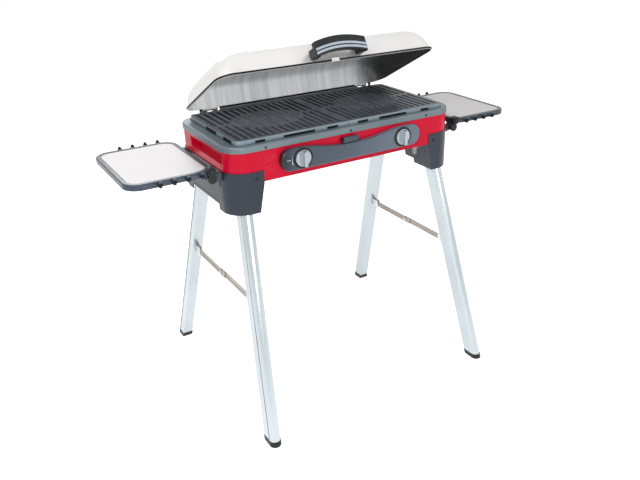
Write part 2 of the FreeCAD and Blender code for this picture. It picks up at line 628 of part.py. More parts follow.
def build_grates():
    for side, sign in SIDES:
        middle = f"{sign} * (grate_length + grate_split) / 2"
        body = new_body(f"grate_solid_{side}")
        plan = new_sketch(body, "XY", GRATE_LOW)
        ends = (f"{middle} - grate_length / 2", f"{middle} + grate_length / 2")
        draw_polygon(plan, [(ends[0], "-grate_depth / 2"), (ends[1], "-grate_depth / 2"),
                            (ends[1], "grate_depth / 2"), (ends[0], "grate_depth / 2")])
        plate = add_pad(body, plan, "grate_thick")
        doc.recompute()
        outer_x = number(f"{sign} * (grate_length + grate_split / 2)")
        corners = edges_where(plate.Shape, lambda edge: runs_along(edge, Z_AXIS)
                              and abs(edge.CenterOfMass.x - outer_x) < 0.5)
        add_fillet(body, corners, "grate_corner")
        doc.recompute()
        full = body.Tip.Shape.Volume
        pitch = "(grate_length - 2 * grate_border - slot_width) / (slot_count - 1)"
        for row_name, low, high in (("front", "-grate_depth / 2 + grate_border", "-bridge_depth / 2"),
                                    ("rear", "bridge_depth / 2", "grate_depth / 2 - grate_border")):
            first = f"{middle} - grate_length / 2 + grate_border"
            sketch = new_sketch(body, "XY", GRATE_TOP)
            sketch.Label = f"slots_{side}_{row_name}"
            draw_polygon(sketch, [(first, low), (f"{first} + slot_width", low),
                                  (f"{first} + slot_width", high), (first, high)])
            pocket = body.newObject("PartDesign::Pocket", f"slot_{side}_{row_name}")
            pocket.Profile = sketch
            tie(pocket, "Length", "grate_thick + 1")
            repeat = body.newObject("PartDesign::LinearPattern", f"slots_{side}_{row_name}_row")
            repeat.Originals = [pocket]
            repeat.Direction = (sketch, ["H_Axis"])
            tie(repeat, "Length", f"({pitch}) * (slot_count - 1)")
            repeat.Occurrences = int(number("1 * slot_count"))
            body.Tip = repeat
            doc.recompute()
            if repeat.Shape.Volume > full - 1000:
                raise RuntimeError(f"the slots of {body.Label} cut nothing")
        oval = new_body(f"grate_oval_{side}")
        disc = new_sketch(oval, "XY", GRATE_LOW)
        draw_circle(disc, "0", "0", "oval_depth / 2")
        add_pad(oval, disc, "grate_thick - oval_drop")
        stretched = doc.addObject("Part::Feature", f"grate_oval_wide_{side}")
        doc.recompute()
        matrix = FreeCAD.Matrix()
        matrix.scale(number("oval_length / oval_depth"), 1, 1)
        stretched.Shape = oval.Shape.transformGeometry(matrix)
        stretched.Placement.Base = point(middle, "0", "0")
        node(fuse(f"grate_{side}", [body, stretched]), f"grate_{side}")


# ---------------------------------------------------------------- lines that the legs follow

def leg_slant(sign, step):
    """How far the leg moves across and along for each millimetre that it drops."""
    return (sign * math.tan(math.radians(number("1 * splay_x"))),
            step * math.tan(math.radians(number("1 * splay_y"))))


def leg_place(sign, step, level):
    """The middle of a leg at a height, as two sums of sizes."""
    return (f"{sign} * (leg_x + (leg_level - ({level})) * tan(splay_x * 1 deg))",
            f"{step} * (leg_y + (leg_level - ({level})) * tan(splay_y * 1 deg))")


def leg_profile(body, sign, step, level, shrink, name):
    """A flat-backed outline whose outward end is a half circle, drawn level at a height."""
    middle_x, middle_y = leg_place(sign, step, level)
    sketch = new_sketch(body, "XY", level)
    sketch.Label = name
    radius = f"leg_width / 2 - ({shrink})"
    left, right = f"{middle_x} - ({radius})", f"{middle_x} + ({radius})"
    back = f"{middle_y} - {step} * (leg_depth / 2 - ({shrink}))"
    turn = f"{middle_y} + {step} * (leg_depth / 2 - leg_width / 2)"
    places = {words: number(words) for words in (left, right, back, turn, middle_x)}
    corner = {"lb": (left, back), "rb": (right, back), "rt": (right, turn), "lt": (left, turn)}
    spot = {key: FreeCAD.Vector(places[across], places[up], 0)
            for key, (across, up) in corner.items()}
    nose = FreeCAD.Vector(places[middle_x], places[turn] + step * number(radius), 0)
    lines = [sketch.addGeometry(Part.LineSegment(spot[first], spot[second]), False)
             for first, second in (("lt", "lb"), ("lb", "rb"), ("rb", "rt"))]
    arc = sketch.addGeometry(Part.Arc(spot["rt"], nose, spot["lt"]), False)
    first_end, second_end = (1, 2) if step > 0 else (2, 1)
    sketch.addConstraint(Sketcher.Constraint("Coincident", lines[0], 2, lines[1], 1))
    sketch.addConstraint(Sketcher.Constraint("Coincident", lines[1], 2, lines[2], 1))
    sketch.addConstraint(Sketcher.Constraint("Coincident", lines[2], 2, arc, first_end))
    sketch.addConstraint(Sketcher.Constraint("Coincident", lines[0], 1, arc, second_end))
    pin_point(sketch, lines[0], 1, left, turn)
    pin_point(sketch, lines[1], 1, left, back)
    pin_point(sketch, lines[2], 1, right, back)
    pin_point(sketch, lines[2], 2, right, turn)
    index = sketch.addConstraint(Sketcher.Constraint("DistanceY", -1, 1, arc, 3, number(turn)))
    tie(sketch, f"Constraints[{index}]", turn)
    return sketch


def leg_bar(label, sign, step, low, high, shrink):
    """A bar of the leg's section between two heights, leaning with the leg."""
    across, along = leg_slant(sign, step)
    body = new_body(label)
    sketch = leg_profile(body, sign, step, low, shrink, label + "_outline")
    add_pad(body, sketch, f"({high}) - ({low})", FreeCAD.Vector(-across, -along, 1))
    return body


def fold_axis(sign):
    lean = math.radians(number("1 * splay_x"))
    return FreeCAD.Vector(math.cos(lean), 0, sign * math.sin(lean))


def pivot_rod(label, sign, step, radius, length):
    """A round bar on a leg's pivot line, centred in the width of the housing."""
    pivot_x, pivot_y = leg_place(sign, step, "pivot_level")
    lift = f"({sign} * pin_middle - ({pivot_x})) * {sign} * tan(splay_x * 1 deg)"
    return rod(label, radius, length,
               (f"{sign} * pin_middle - ({length}) / 2 * cos(splay_x * 1 deg)", pivot_y,
                f"pivot_level + {lift} - {sign} * ({length}) / 2 * sin(splay_x * 1 deg)"),
               fold_axis(sign))


# ---------------------------------------------------------------- leg housings

def build_housings():
    outer = centred_block("housing_outer_form", "2 * housing_outer", "2 * housing_side",
                          "housing_bottom", "housing_top", "casing_corner + 2")
    hollow = centred_block("housing_hollow_form", "2 * housing_outer - 2 * housing_wall",
                           "2 * housing_side - 2 * housing_wall", "housing_bottom - 5",
                           "casing_bottom - housing_wall", "casing_corner + 2 - housing_wall")
    seat = centred_block("housing_seat_form", "casing_width + 2 * seat_gap",
                         "casing_depth + 2 * seat_gap", "casing_bottom - seat_gap / 3",
                         "housing_top + 5", "casing_corner + seat_gap")
    ceiling = "casing_bottom - housing_wall"
    for side, sign in SIDES:
        keep = box(f"housing_keep_{side}", *span(sign, "housing_inner", "housing_outer + 5"),
                   "-housing_side - 5", "housing_side + 5", "housing_bottom - 1", "housing_top + 1")
        shell = common(f"housing_form_{side}", outer, keep)
        taper = prism(f"housing_taper_{side}", "XZ",
                      [(f"{sign} * (housing_inner - 5)", "housing_bottom - 5"),
                       (f"{sign} * housing_low_inner", "housing_bottom - 5"),
                       (f"{sign} * housing_low_inner", "housing_bottom"),
                       (f"{sign} * housing_inner", ceiling),
                       (f"{sign} * (housing_inner - 5)", ceiling)],
                      "-housing_side - 5", "2 * housing_side + 10")
        cavities = []
        for end, step in ENDS:
            room = prism(f"housing_room_{side}_{end}", "XZ",
                         [(f"{sign} * (housing_low_inner + housing_wall)", "housing_bottom - 5"),
                          (f"{sign} * (housing_outer + 5)", "housing_bottom - 5"),
                          (f"{sign} * (housing_outer + 5)", ceiling),
                          (f"{sign} * (housing_inner + housing_wall)", ceiling)],
                         *(("pocket_side + housing_wall", "housing_side") if step < 0 else
                           ("-housing_side - pocket_side - housing_wall", "housing_side")))
            cavities.append(common(f"housing_cavity_{side}_{end}", hollow, room))
        middle = box(f"housing_middle_{side}", *span(sign, "housing_inner - 5", "housing_outer + 5"),
                     "-pocket_side", "pocket_side", "housing_bottom - 5", ceiling)
        cavities.append(common(f"housing_cavity_{side}_middle", hollow, middle))
        arch = box(f"housing_arch_{side}", *span(sign, "housing_inner - 5", "housing_outer + 5"),
                   "-arch_half", "arch_half", "housing_bottom - 5", "housing_middle_low")
        sockets = [pivot_rod(f"pin_socket_{side}_{end}", sign, step, "pivot_radius + running_gap",
                             "pin_length + seat_gap") for end, step in ENDS]
        node(cut(f"housing_{side}", shell, [seat, taper, arch] + cavities + sockets),
             f"leg_housing_{side}")

    screws = []
    for side, sign in SIDES:
        for end, step in ENDS:
            flat = "housing_side" if step > 0 else "-housing_side - 2"
            screws.append(rod(f"housing_screw_{side}_{end}", "screw_radius", "2",
                              (f"{sign} * (housing_inner + 19)", flat, "housing_top - 19"), Y_AXIS))
    node(group("housing_screws", screws), "housing_screw_heads")


# ---------------------------------------------------------------- legs

def build_legs():
    pins = []
    for side, sign in SIDES:
        for end, step in ENDS:
            tag = f"{end}_{side}"
            outer = leg_bar(f"leg_outer_{tag}", sign, step, "plug_height", "leg_top", "0")
            inner = leg_bar(f"leg_inner_{tag}", sign, step, "plug_height - 5", "leg_top + 5",
                            "leg_wall")
            bore = pivot_rod(f"leg_bore_{tag}", sign, step, "pivot_radius + running_gap",
                             "pin_length + 20")
            node(cut(f"leg_tube_{tag}", outer, [inner, bore]), f"leg_{tag}")
            node(leg_bar(f"plug_cap_{tag}", sign, step, "0", "plug_height", "-plug_lip"),
                 f"foot_plug_{tag}")
            pins.append(pivot_rod(f"pivot_pin_{tag}", sign, step, "pivot_radius", "pin_length"))
    node(group("pivot_pins", pins), "leg_pivot_pins")


# ---------------------------------------------------------------- braces

def build_braces():
    """Each end has two flat bars that lap at the middle; a stud on each runs in the other's slot.

    They are drawn upright about the leg's middle plane and then leaned with the legs.
    """
    for side, sign in SIDES:
        plane_x, clip_face = leg_place(sign, 1, "brace_level")
        inner_face = f"{clip_face} - leg_depth / 2"
        clip_pin = f"{inner_face} - clip_reach + 9"
        lean = FreeCAD.Rotation(Y_AXIS, -sign * number("1 * splay_x"))
        place = FreeCAD.Placement(point(plane_x, "0", "brace_level"), lean)
        for end, step in ENDS:
            near, far = span(-step, "seat_gap / 2", "seat_gap / 2 + brace_thick")
            tip = "brace_tip"
            stud = f"{-step} * stud_setback"
            root = f"{clip_pin} + 9"
            bar_y = span(step, f"-{tip}", root)
            low_z = "-brace_height / 2"
            bar = box(f"bar_{end}_{side}", near, far, *bar_y, low_z, "brace_height / 2")
            slot_far = f"stud_setback + 2 * brace_run"
            slot_y = span(step, f"stud_setback - stud_radius - fit_gap",
                          f"{slot_far} + stud_radius + fit_gap")
            slot = box(f"bar_slot_{end}_{side}", f"{near} - 1", f"{far} + 1", *slot_y,
                       "-stud_radius - seat_gap / 3", "stud_radius + seat_gap / 3")
            hole = rod(f"bar_hole_{end}_{side}", "stud_radius + running_gap", "20",
                       ("-10", f"{step} * ({clip_pin})", "0"), X_AXIS)
            seat = rod(f"bar_stud_seat_{end}_{side}", "stud_radius + running_gap", "20",
                       ("-10", stud, "0"), X_AXIS)
            item = node(cut(f"brace_bar_{end}_{side}", bar, [slot, hole, seat]),
                        f"brace_{end}_{side}")
            item.Placement = place

            reach = "seat_gap / 2 + brace_thick"
            away = -step
            through = span(-away, f"{reach} + seat_gap / 2", f"{reach} + seat_gap / 2 + 2.5")
            shank = rod(f"stud_shank_{end}_{side}", "stud_radius", f"2 * ({reach}) + 1 + seat_gap / 2",
                        (f"-({reach}) - (1 + seat_gap / 2) * {1 if away > 0 else 0}", stud, "0"),
                        X_AXIS)
            head = rod(f"stud_head_{end}_{side}", "2 * stud_radius", "2.5",
                       (through[0], stud, "0"), X_AXIS)
            stud_item = node(fuse(f"stud_{end}_{side}", [shank, head]), f"brace_stud_{end}_{side}")
            stud_item.Placement = place

            clip_y = span(step, f"{clip_pin} - 9", f"{inner_face}")
            clip_outer = box(f"clip_block_{end}_{side}", f"-({reach}) - seat_gap - clip_thick",
                             f"{reach} + seat_gap + clip_thick", *clip_y, "-clip_height / 2",
                             "clip_height / 2")
            gap_y = span(step, f"{clip_pin} - 10", f"{inner_face} - clip_thick")
            clip_gap = box(f"clip_gap_{end}_{side}", f"-({reach}) - seat_gap",
                           f"{reach} + seat_gap", *gap_y, "-clip_height / 2 - 1",
                           "clip_height / 2 + 1")
            rivet = rod(f"clip_rivet_{end}_{side}", "stud_radius",
                        f"2 * ({reach} + seat_gap + clip_thick) + 2",
                        (f"-({reach}) - seat_gap - clip_thick - 1", f"{step} * ({clip_pin})", "0"),
                        X_AXIS)
            leg_solid = leg_bar(f"leg_for_clip_{end}_{side}", sign, step, "brace_level - 40",
                                "brace_level + 40", "-seat_gap / 6")
            leaned = doc.addObject("Part::Feature", f"leg_for_clip_leaned_{end}_{side}")
            doc.recompute()
            leaned.Shape = leg_solid.Shape.transformGeometry(place.inverse().toMatrix())
            clip = fuse(f"clip_solid_{end}_{side}", [cut(f"clip_u_{end}_{side}", clip_outer,
                                                         [clip_gap]), rivet])
            clip_item = node(cut(f"clip_{end}_{side}", clip, [leaned]), f"brace_clip_{end}_{side}")
            clip_item.Placement = place


# ---------------------------------------------------------------- side tables

def build_tables():
    pivot_z = "table_top - pivot_drop"
    under = "table_top - table_thick"
    for side, sign in SIDES:
        left, right = span(sign, "table_inner", "table_outer")
        slab = rounded_block(f"table_slab_{side}", left, right, "-table_half", "table_half",
                             under, "table_top", "table_corner", "table_round")
        plate_left, plate_right = span(sign, "table_inner + table_rim", "table_outer - table_rim")
        recess = rounded_block(f"table_recess_{side}", plate_left, plate_right,
                               "-table_half + table_rim", "table_half - table_rim",
                               "table_top - plate_drop - plate_thick - seat_gap / 3",
                               "table_top + 5", "table_corner - table_rim")
        belly = rounded_block(f"table_belly_{side}", f"{plate_left}", f"{plate_right}",
                              "-table_half + table_rim", "table_half - table_rim",
                              f"{under} - 5", f"{under} + 7", "table_corner - table_rim")
        hooks = []
        for index in range(int(number("1 * hook_count"))):
            for end, step in ENDS:
                across = f"{sign} * (hook_first + {index} * hook_pitch)"
                bar_y = span(step, "table_half - 2", "table_half + hook_reach")
                hooks.append(box(f"hook_bar_{side}_{end}_{index}", f"{across} - hook_radius",
                                 f"{across} + hook_radius", *bar_y, f"{under} + 2",
                                 f"{under} + 2 + 2 * hook_radius"))
                lip_y = span(step, "table_half + hook_reach - hook_radius",
                             "table_half + hook_reach")
                hooks.append(box(f"hook_lip_{side}_{end}_{index}", f"{across} - hook_radius",
                                 f"{across} + hook_radius", *lip_y, f"{under} + 2",
                                 f"{under} + 4 + 4 * hook_radius"))
        lugs, brackets, pins = [], [], []
        pivot_x = f"{sign} * pivot_out"
        lug_x = span(sign, "pivot_out - 7", "pivot_out + 10")
        for end, step in ENDS:
            for name, shift in (("near", -1), ("far", 1)):
                inner_y = f"arm_place + {shift} * (arm_thick / 2 + seat_gap + lug_thick / 2)"
                lug_y = span(step, f"{inner_y} - lug_thick / 2", f"{inner_y} + lug_thick / 2")
                lugs.append(box(f"table_lug_{side}_{end}_{name}", *lug_x, *lug_y,
                                f"{pivot_z} - 7", f"{under} + 1"))
            arm_y = "-arm_place - arm_thick / 2" if step < 0 else "arm_place - arm_thick / 2"
            level = f"-({arm_y}) - arm_thick"
            bracket = prism(f"arm_form_{side}_{end}", "XZ",
                            [(f"{sign} * (housing_outer + seat_gap / 3)", "housing_top - arm_height"),
                             (f"{sign} * (housing_outer + 7)", "housing_top - arm_height"),
                             (f"{sign} * (pivot_out + 7)", f"{pivot_z} - 6"),
                             (f"{sign} * (pivot_out + 7)", f"{pivot_z} + 7"),
                             (f"{sign} * (pivot_out - 7)", f"{pivot_z} + 7"),
                             (f"{sign} * (housing_outer + 7)", "housing_top"),
                             (f"{sign} * (housing_outer + seat_gap / 3)", "housing_top")],
                            level, "arm_thick")
            bore = rod(f"arm_bore_{side}_{end}", "table_pin + running_gap", "arm_thick + 20",
                       (pivot_x, f"{arm_y} - 10", pivot_z), Y_AXIS)
            brackets.append(cut(f"arm_{side}_{end}", bracket, [bore]))
            pin_y = span(step, "arm_place - pin_reach", "arm_place + pin_reach")
            pins.append(rod(f"table_rod_{side}_{end}", "table_pin", "2 * pin_reach",
                            (pivot_x, pin_y[0], pivot_z), Y_AXIS))
        pin_holes = [rod(f"lug_hole_{side}", "table_pin + running_gap", "2 * table_half",
                         (pivot_x, "-table_half", pivot_z), Y_AXIS)]
        solid = fuse(f"table_form_{side}", [cut(f"table_frame_solid_{side}", slab, [recess, belly])]
                     + hooks + lugs)
        node(cut(f"table_frame_cut_{side}", solid, pin_holes), f"table_frame_{side}")
        plate = rounded_block(f"table_plate_solid_{side}",
                              f"{plate_left} + seat_gap", f"{plate_right} - seat_gap",
                              "-table_half + table_rim + seat_gap",
                              "table_half - table_rim - seat_gap",
                              "table_top - plate_drop - plate_thick", "table_top - plate_drop",
                              "table_corner - table_rim - seat_gap")
        node(plate, f"table_plate_{side}")
        node(group(f"arm_pair_{side}", brackets), f"table_arms_{side}")
        node(group(f"table_pin_pair_{side}", pins), f"table_pins_{side}")
        thumb = rod(f"thumb_disc_{side}", "thumb_radius", "thumb_thick",
                    (pivot_x, "-arm_place - pin_reach - thumb_thick - seat_gap / 3", pivot_z), Y_AXIS)
        node(thumb, f"thumb_knob_{side}")


# ---------------------------------------------------------------- build, check and write

build_casing()
build_firebox()
build_gas()
build_panel()
build_hood()
build_grates()
build_housings()
build_legs()
build_braces()
build_tables()
doc.recompute()

faults = [item.Label for item in doc.Objects
          if "Invalid" in item.State or "Error" in item.State]
faults += [item.Label for item in NODES if item.Shape.isNull() or not item.Shape.isValid()]
if faults:
    raise RuntimeError("failed: " + ", ".join(faults))
os.makedirs("parts", exist_ok=True)
for item in NODES:
    item.Shape.exportStep(f"parts/{item.Label}.step")
    print(item.Label, len(item.Shape.Solids), round(item.Shape.Volume / 1000, 1))
print(len(NODES), "nodes")
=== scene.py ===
# %% [markdown]
# # A two-burner gas barbecue, finished in Blender
# The construction comes in as a fixed frame: every piece at its real size, in metres, with +Z up
# and the front facing -Y. This lesson gives each piece its surface and softened edges, models the
# handle again, and adds detail to the hood, grates, tables and legs.

# %% Load the frame
import json
import math

import bmesh
import bpy
from mathutils import Matrix, Vector

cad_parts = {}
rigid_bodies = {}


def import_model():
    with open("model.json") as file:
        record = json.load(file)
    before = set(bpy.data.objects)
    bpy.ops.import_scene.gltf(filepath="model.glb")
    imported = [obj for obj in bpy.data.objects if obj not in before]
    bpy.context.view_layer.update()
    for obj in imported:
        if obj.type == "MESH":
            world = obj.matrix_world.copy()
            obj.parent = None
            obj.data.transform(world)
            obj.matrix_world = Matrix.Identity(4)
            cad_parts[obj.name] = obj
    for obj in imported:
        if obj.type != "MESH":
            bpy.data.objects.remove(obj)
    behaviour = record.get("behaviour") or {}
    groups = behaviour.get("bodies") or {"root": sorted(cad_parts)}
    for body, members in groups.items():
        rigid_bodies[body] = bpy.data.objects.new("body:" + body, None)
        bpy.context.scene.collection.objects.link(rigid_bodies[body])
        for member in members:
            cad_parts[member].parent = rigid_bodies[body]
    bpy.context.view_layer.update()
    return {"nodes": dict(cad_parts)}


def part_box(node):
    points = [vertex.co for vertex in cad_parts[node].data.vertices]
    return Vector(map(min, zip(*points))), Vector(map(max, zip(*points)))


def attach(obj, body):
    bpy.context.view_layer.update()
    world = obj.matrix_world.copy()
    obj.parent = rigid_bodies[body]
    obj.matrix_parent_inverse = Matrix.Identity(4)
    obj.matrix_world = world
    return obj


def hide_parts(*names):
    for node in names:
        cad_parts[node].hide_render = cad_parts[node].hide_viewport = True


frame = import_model()
MM = 0.001
SIDES = (("left", -1), ("right", 1))
ENDS = (("front", -1), ("rear", 1))
print("pieces in the frame:", len(frame["nodes"]))

# %% [markdown]
# ## Camera
# A portrait of a product is taken from standing height, a little to the left of it. A slight shift
# centres the object without turning the camera, so upright legs stay believable.

# %% Place the camera
camera_data = bpy.data.cameras.new("camera")
camera_data.sensor_width = 36
camera_data.lens = 38.5
camera_data.shift_x = -0.0403
camera_data.shift_y = 0.0034
camera = bpy.data.objects.new("camera", camera_data)
bpy.context.collection.objects.link(camera)
yaw, pitch, roll = 0.574, 0.452, 0.0112
camera.matrix_world = (Matrix.Translation((-0.92997, -1.5665, 1.23942))
                       @ Matrix.Rotation(-yaw, 4, "Z")
                       @ Matrix.Rotation(math.pi / 2 - pitch, 4, "X")
                       @ Matrix.Rotation(-roll, 4, "Z"))
bpy.context.scene.camera = camera
print("camera at", [round(value, 3) for value in camera.matrix_world.translation])

# %% [markdown]
# ## Light and floor
# Studio light is large and soft. One broad lamp above and to the left draws the long highlights on
# the hood and legs, a weaker one fills from the right, and a white surround shows in every gloss.
# The floor is a plain pale sheet; camera, mirror and glass rays see it as white.

# %% Lamps
def add_area_lamp(name, place, target, size, power):
    data = bpy.data.lights.new(name, "AREA")
    data.shape = "RECTANGLE"
    data.size, data.size_y = size
    data.energy = power
    lamp = bpy.data.objects.new(name, data)
    lamp.location = place
    lamp.rotation_euler = (Vector(target) - Vector(place)).to_track_quat("-Z", "Y").to_euler()
    bpy.context.collection.objects.link(lamp)
    return lamp


add_area_lamp("key_lamp", (-2.2, -1.6, 2.9), (0, 0, 0.6), (1.8, 1.2), 62)
add_area_lamp("fill_lamp", (2.4, -1.9, 1.7), (0, 0, 0.6), (1.4, 1.4), 14)
add_area_lamp("low_lamp", (-0.5, -2.0, 0.95), (0, 0.1, 0.86), (1.2, 0.5), 13)
add_area_lamp("back_lamp", (0.6, 2.6, 2.2), (0, 0, 0.8), (2.0, 0.8), 26)
print("four lamps")


# %% World and floor
def link(tree, source, target):
    tree.links.new(source, target)


def white_ray_mask(tree):
    """1 where the ray comes from the camera, a reflection or glass, else 0."""
    path = tree.nodes.new("ShaderNodeLightPath")
    first = tree.nodes.new("ShaderNodeMath")
    first.operation = "MAXIMUM"
    link(tree, path.outputs["Is Camera Ray"], first.inputs[0])
    link(tree, path.outputs["Is Glossy Ray"], first.inputs[1])
    second = tree.nodes.new("ShaderNodeMath")
    second.operation = "MAXIMUM"
    link(tree, first.outputs[0], second.inputs[0])
    link(tree, path.outputs["Is Transmission Ray"], second.inputs[1])
    return second.outputs[0]


def build_world():
    world = bpy.data.worlds.new("studio")
    world.use_nodes = True
    tree = world.node_tree
    tree.nodes.clear()
    plain = tree.nodes.new("ShaderNodeBackground")
    plain.inputs["Color"].default_value = (1, 1, 1, 1)
    plain.inputs["Strength"].default_value = 0.42
    seen = tree.nodes.new("ShaderNodeBackground")
    seen.inputs["Color"].default_value = (1, 1, 1, 1)
    seen.inputs["Strength"].default_value = 1.0
    mix = tree.nodes.new("ShaderNodeMixShader")
    out = tree.nodes.new("ShaderNodeOutputWorld")
    link(tree, white_ray_mask(tree), mix.inputs[0])
    link(tree, plain.outputs[0], mix.inputs[1])
    link(tree, seen.outputs[0], mix.inputs[2])
    link(tree, mix.outputs[0], out.inputs["Surface"])
    bpy.context.scene.world = world


def build_floor():
    bm = bmesh.new()
    bmesh.ops.create_grid(bm, x_segments=1, y_segments=1, size=6)
    mesh = bpy.data.meshes.new("floor")
    bm.to_mesh(mesh)
    bm.free()
    floor = bpy.data.objects.new("floor", mesh)
    bpy.context.collection.objects.link(floor)
    material = bpy.data.materials.new("floor_paper")
    material.use_nodes = True
    tree = material.node_tree
    tree.nodes.clear()
    paper = tree.nodes.new("ShaderNodeBsdfDiffuse")
    paper.inputs["Color"].default_value = (0.93, 0.93, 0.93, 1)
    glow = tree.nodes.new("ShaderNodeEmission")
    glow.inputs["Strength"].default_value = 0.68
    add = tree.nodes.new("ShaderNodeAddShader")
    mix = tree.nodes.new("ShaderNodeMixShader")
    out = tree.nodes.new("ShaderNodeOutputMaterial")
    link(tree, paper.outputs[0], add.inputs[0])
    link(tree, glow.outputs[0], add.inputs[1])
    link(tree, white_ray_mask(tree), mix.inputs[0])
    link(tree, paper.outputs[0], mix.inputs[1])
    link(tree, add.outputs[0], mix.inputs[2])
    link(tree, mix.outputs[0], out.inputs["Surface"])
    mesh.materials.append(material)


build_world()
build_floor()
bpy.context.scene.view_settings.view_transform = "Standard"
print("white surround and floor ready")

# %% [markdown]
# ## Shared surface effects
# Several finishes share the same small irregularities, so each is a node group built once. They
# give only colours, values and heights; the Principled shader itself stays in each material.


# %% Node group helpers
def new_group(name, inputs, outputs):
    """An empty shader group; inputs and outputs are (name, socket kind, default) rows."""
    tree = bpy.data.node_groups.new(name, "ShaderNodeTree")
    for label, kind, default in inputs:
        socket = tree.interface.new_socket(name=label, in_out="INPUT", socket_type=kind)
        socket.default_value = default
    for label, kind in outputs:
        tree.interface.new_socket(name=label, in_out="OUTPUT", socket_type=kind)
    return tree, tree.nodes.new("NodeGroupInput"), tree.nodes.new("NodeGroupOutput")


def noise(tree, vector, scale, detail=3.0, rough=0.55):
    node = tree.nodes.new("ShaderNodeTexNoise")
    node.inputs["Detail"].default_value = detail
    node.inputs["Roughness"].default_value = rough
    link(tree, vector, node.inputs["Vector"])
    if isinstance(scale, (int, float)):
        node.inputs["Scale"].default_value = scale
    else:
        link(tree, scale, node.inputs["Scale"])
    return node.outputs["Fac"]


def math_node(tree, operation, first, second, third=None):
    node = tree.nodes.new("ShaderNodeMath")
    node.operation = operation
    for index, value in enumerate((first, second, third)):
        if value is None:
            continue
        if isinstance(value, (int, float)):
            node.inputs[index].default_value = value
        else:
            link(tree, value, node.inputs[index])
    return node.outputs[0]


def ramp(tree, value, low, high):
    """0 below low, 1 above high, smooth between."""
    node = tree.nodes.new("ShaderNodeMapRange")
    node.interpolation_type = "SMOOTHSTEP"
    link(tree, value, node.inputs["Value"])
    node.inputs["From Min"].default_value = low
    node.inputs["From Max"].default_value = high
    return node.outputs["Result"]


def mix_colour(tree, factor, first, second):
    node = tree.nodes.new("ShaderNodeMix")
    node.data_type = "RGBA"
    for socket, value in (("Factor", factor), ("A", first), ("B", second)):
        target = [each for each in node.inputs if each.name == socket
                  and each.type == ("VALUE" if socket == "Factor" else "RGBA")][0]
        if isinstance(value, (tuple, float, int)):
            target.default_value = value
        else:
            link(tree, value, target)
    return [each for each in node.outputs if each.type == "RGBA"][0]


# %% Grain: the fine pebble of moulded plastic or sprayed paint
def build_grain_group():
    tree, given, out = new_group("Fine Grain", [("Scale", "NodeSocketFloat", 900.0)],
                                 [("Height", "NodeSocketFloat")])
    place = tree.nodes.new("ShaderNodeTexCoord").outputs["Object"]
    coarse = noise(tree, place, given.outputs["Scale"], 2.0)
    fine = noise(tree, place, math_node(tree, "MULTIPLY", given.outputs["Scale"], 3.1), 1.0)
    link(tree, math_node(tree, "MULTIPLY_ADD", fine, 0.5, coarse), out.inputs["Height"])
    return tree


# %% Uneven finish: slow drift of colour and gloss over a whole panel
def build_uneven_group():
    tree, given, out = new_group(
        "Uneven Finish",
        [("Colour", "NodeSocketColor", (0.5, 0.5, 0.5, 1)),
         ("Shade", "NodeSocketColor", (0.3, 0.3, 0.3, 1)),
         ("Scale", "NodeSocketFloat", 8.0), ("Amount", "NodeSocketFloat", 0.3),
         ("Roughness", "NodeSocketFloat", 0.4), ("Roughness Change", "NodeSocketFloat", 0.1)],
        [("Colour", "NodeSocketColor"), ("Roughness", "NodeSocketFloat")])
    place = tree.nodes.new("ShaderNodeTexCoord").outputs["Object"]
    slow = ramp(tree, noise(tree, place, given.outputs["Scale"], 4.0), 0.35, 0.7)
    quick = noise(tree, place, math_node(tree, "MULTIPLY", given.outputs["Scale"], 9.0), 3.0)
    share = math_node(tree, "MULTIPLY", slow, given.outputs["Amount"])
    link(tree, mix_colour(tree, share, given.outputs["Colour"], given.outputs["Shade"]),
         out.inputs["Colour"])
    wobble = math_node(tree, "SUBTRACT", quick, 0.5)
    link(tree, math_node(tree, "MULTIPLY_ADD", wobble, given.outputs["Roughness Change"],
                         given.outputs["Roughness"]), out.inputs["Roughness"])
    return tree


# %% Worn edge: a mask that is 1 on the outward edges that hands and tools rub
def build_wear_group():
    tree, given, out = new_group("Worn Edge", [("Width", "NodeSocketFloat", 0.05)],
                                 [("Mask", "NodeSocketFloat")])
    geometry = tree.nodes.new("ShaderNodeNewGeometry")
    place = tree.nodes.new("ShaderNodeTexCoord").outputs["Object"]
    edge = ramp(tree, geometry.outputs["Pointiness"], 0.53, 0.6)
    broken = ramp(tree, noise(tree, place, 160.0, 4.0), 0.45, 0.62)
    both = math_node(tree, "MULTIPLY", edge, broken)
    link(tree, math_node(tree, "MULTIPLY", both, given.outputs["Width"]), out.inputs["Mask"])
    return tree


# %% Brushed lines: very long thin relief lines along one axis, and a broad streak mask used as painted reflection
def build_brushed_group():
    tree, given, out = new_group(
        "Brushed Lines", [("Stretch", "NodeSocketVector", (1.0, 1.0, 1.0)),
                          ("Scale", "NodeSocketFloat", 700.0)],
        [("Height", "NodeSocketFloat"), ("Streak", "NodeSocketFloat")])
    place = tree.nodes.new("ShaderNodeTexCoord").outputs["Object"]
    scaled = tree.nodes.new("ShaderNodeVectorMath")
    scaled.operation = "MULTIPLY"
    link(tree, place, scaled.inputs[0])
    link(tree, given.outputs["Stretch"], scaled.inputs[1])
    fine = noise(tree, scaled.outputs[0], given.outputs["Scale"], 2.0, 0.6)
    broad = noise(tree, scaled.outputs[0], math_node(tree, "MULTIPLY", given.outputs["Scale"], 0.12),
                  3.0, 0.6)
    link(tree, fine, out.inputs["Height"])
    link(tree, ramp(tree, broad, 0.35, 0.68), out.inputs["Streak"])
    return tree


GRAIN = build_grain_group()
UNEVEN = build_uneven_group()
WEAR = build_wear_group()
BRUSHED = build_brushed_group()
print("effects:", [group.name for group in bpy.data.node_groups])

# %% [markdown]
# ## Materials
# Colours are written as the eye reads them, 0 to 255, and turned into the linear values that
# Blender works with. Every finish drifts a little in colour and gloss, and has a fine relief.


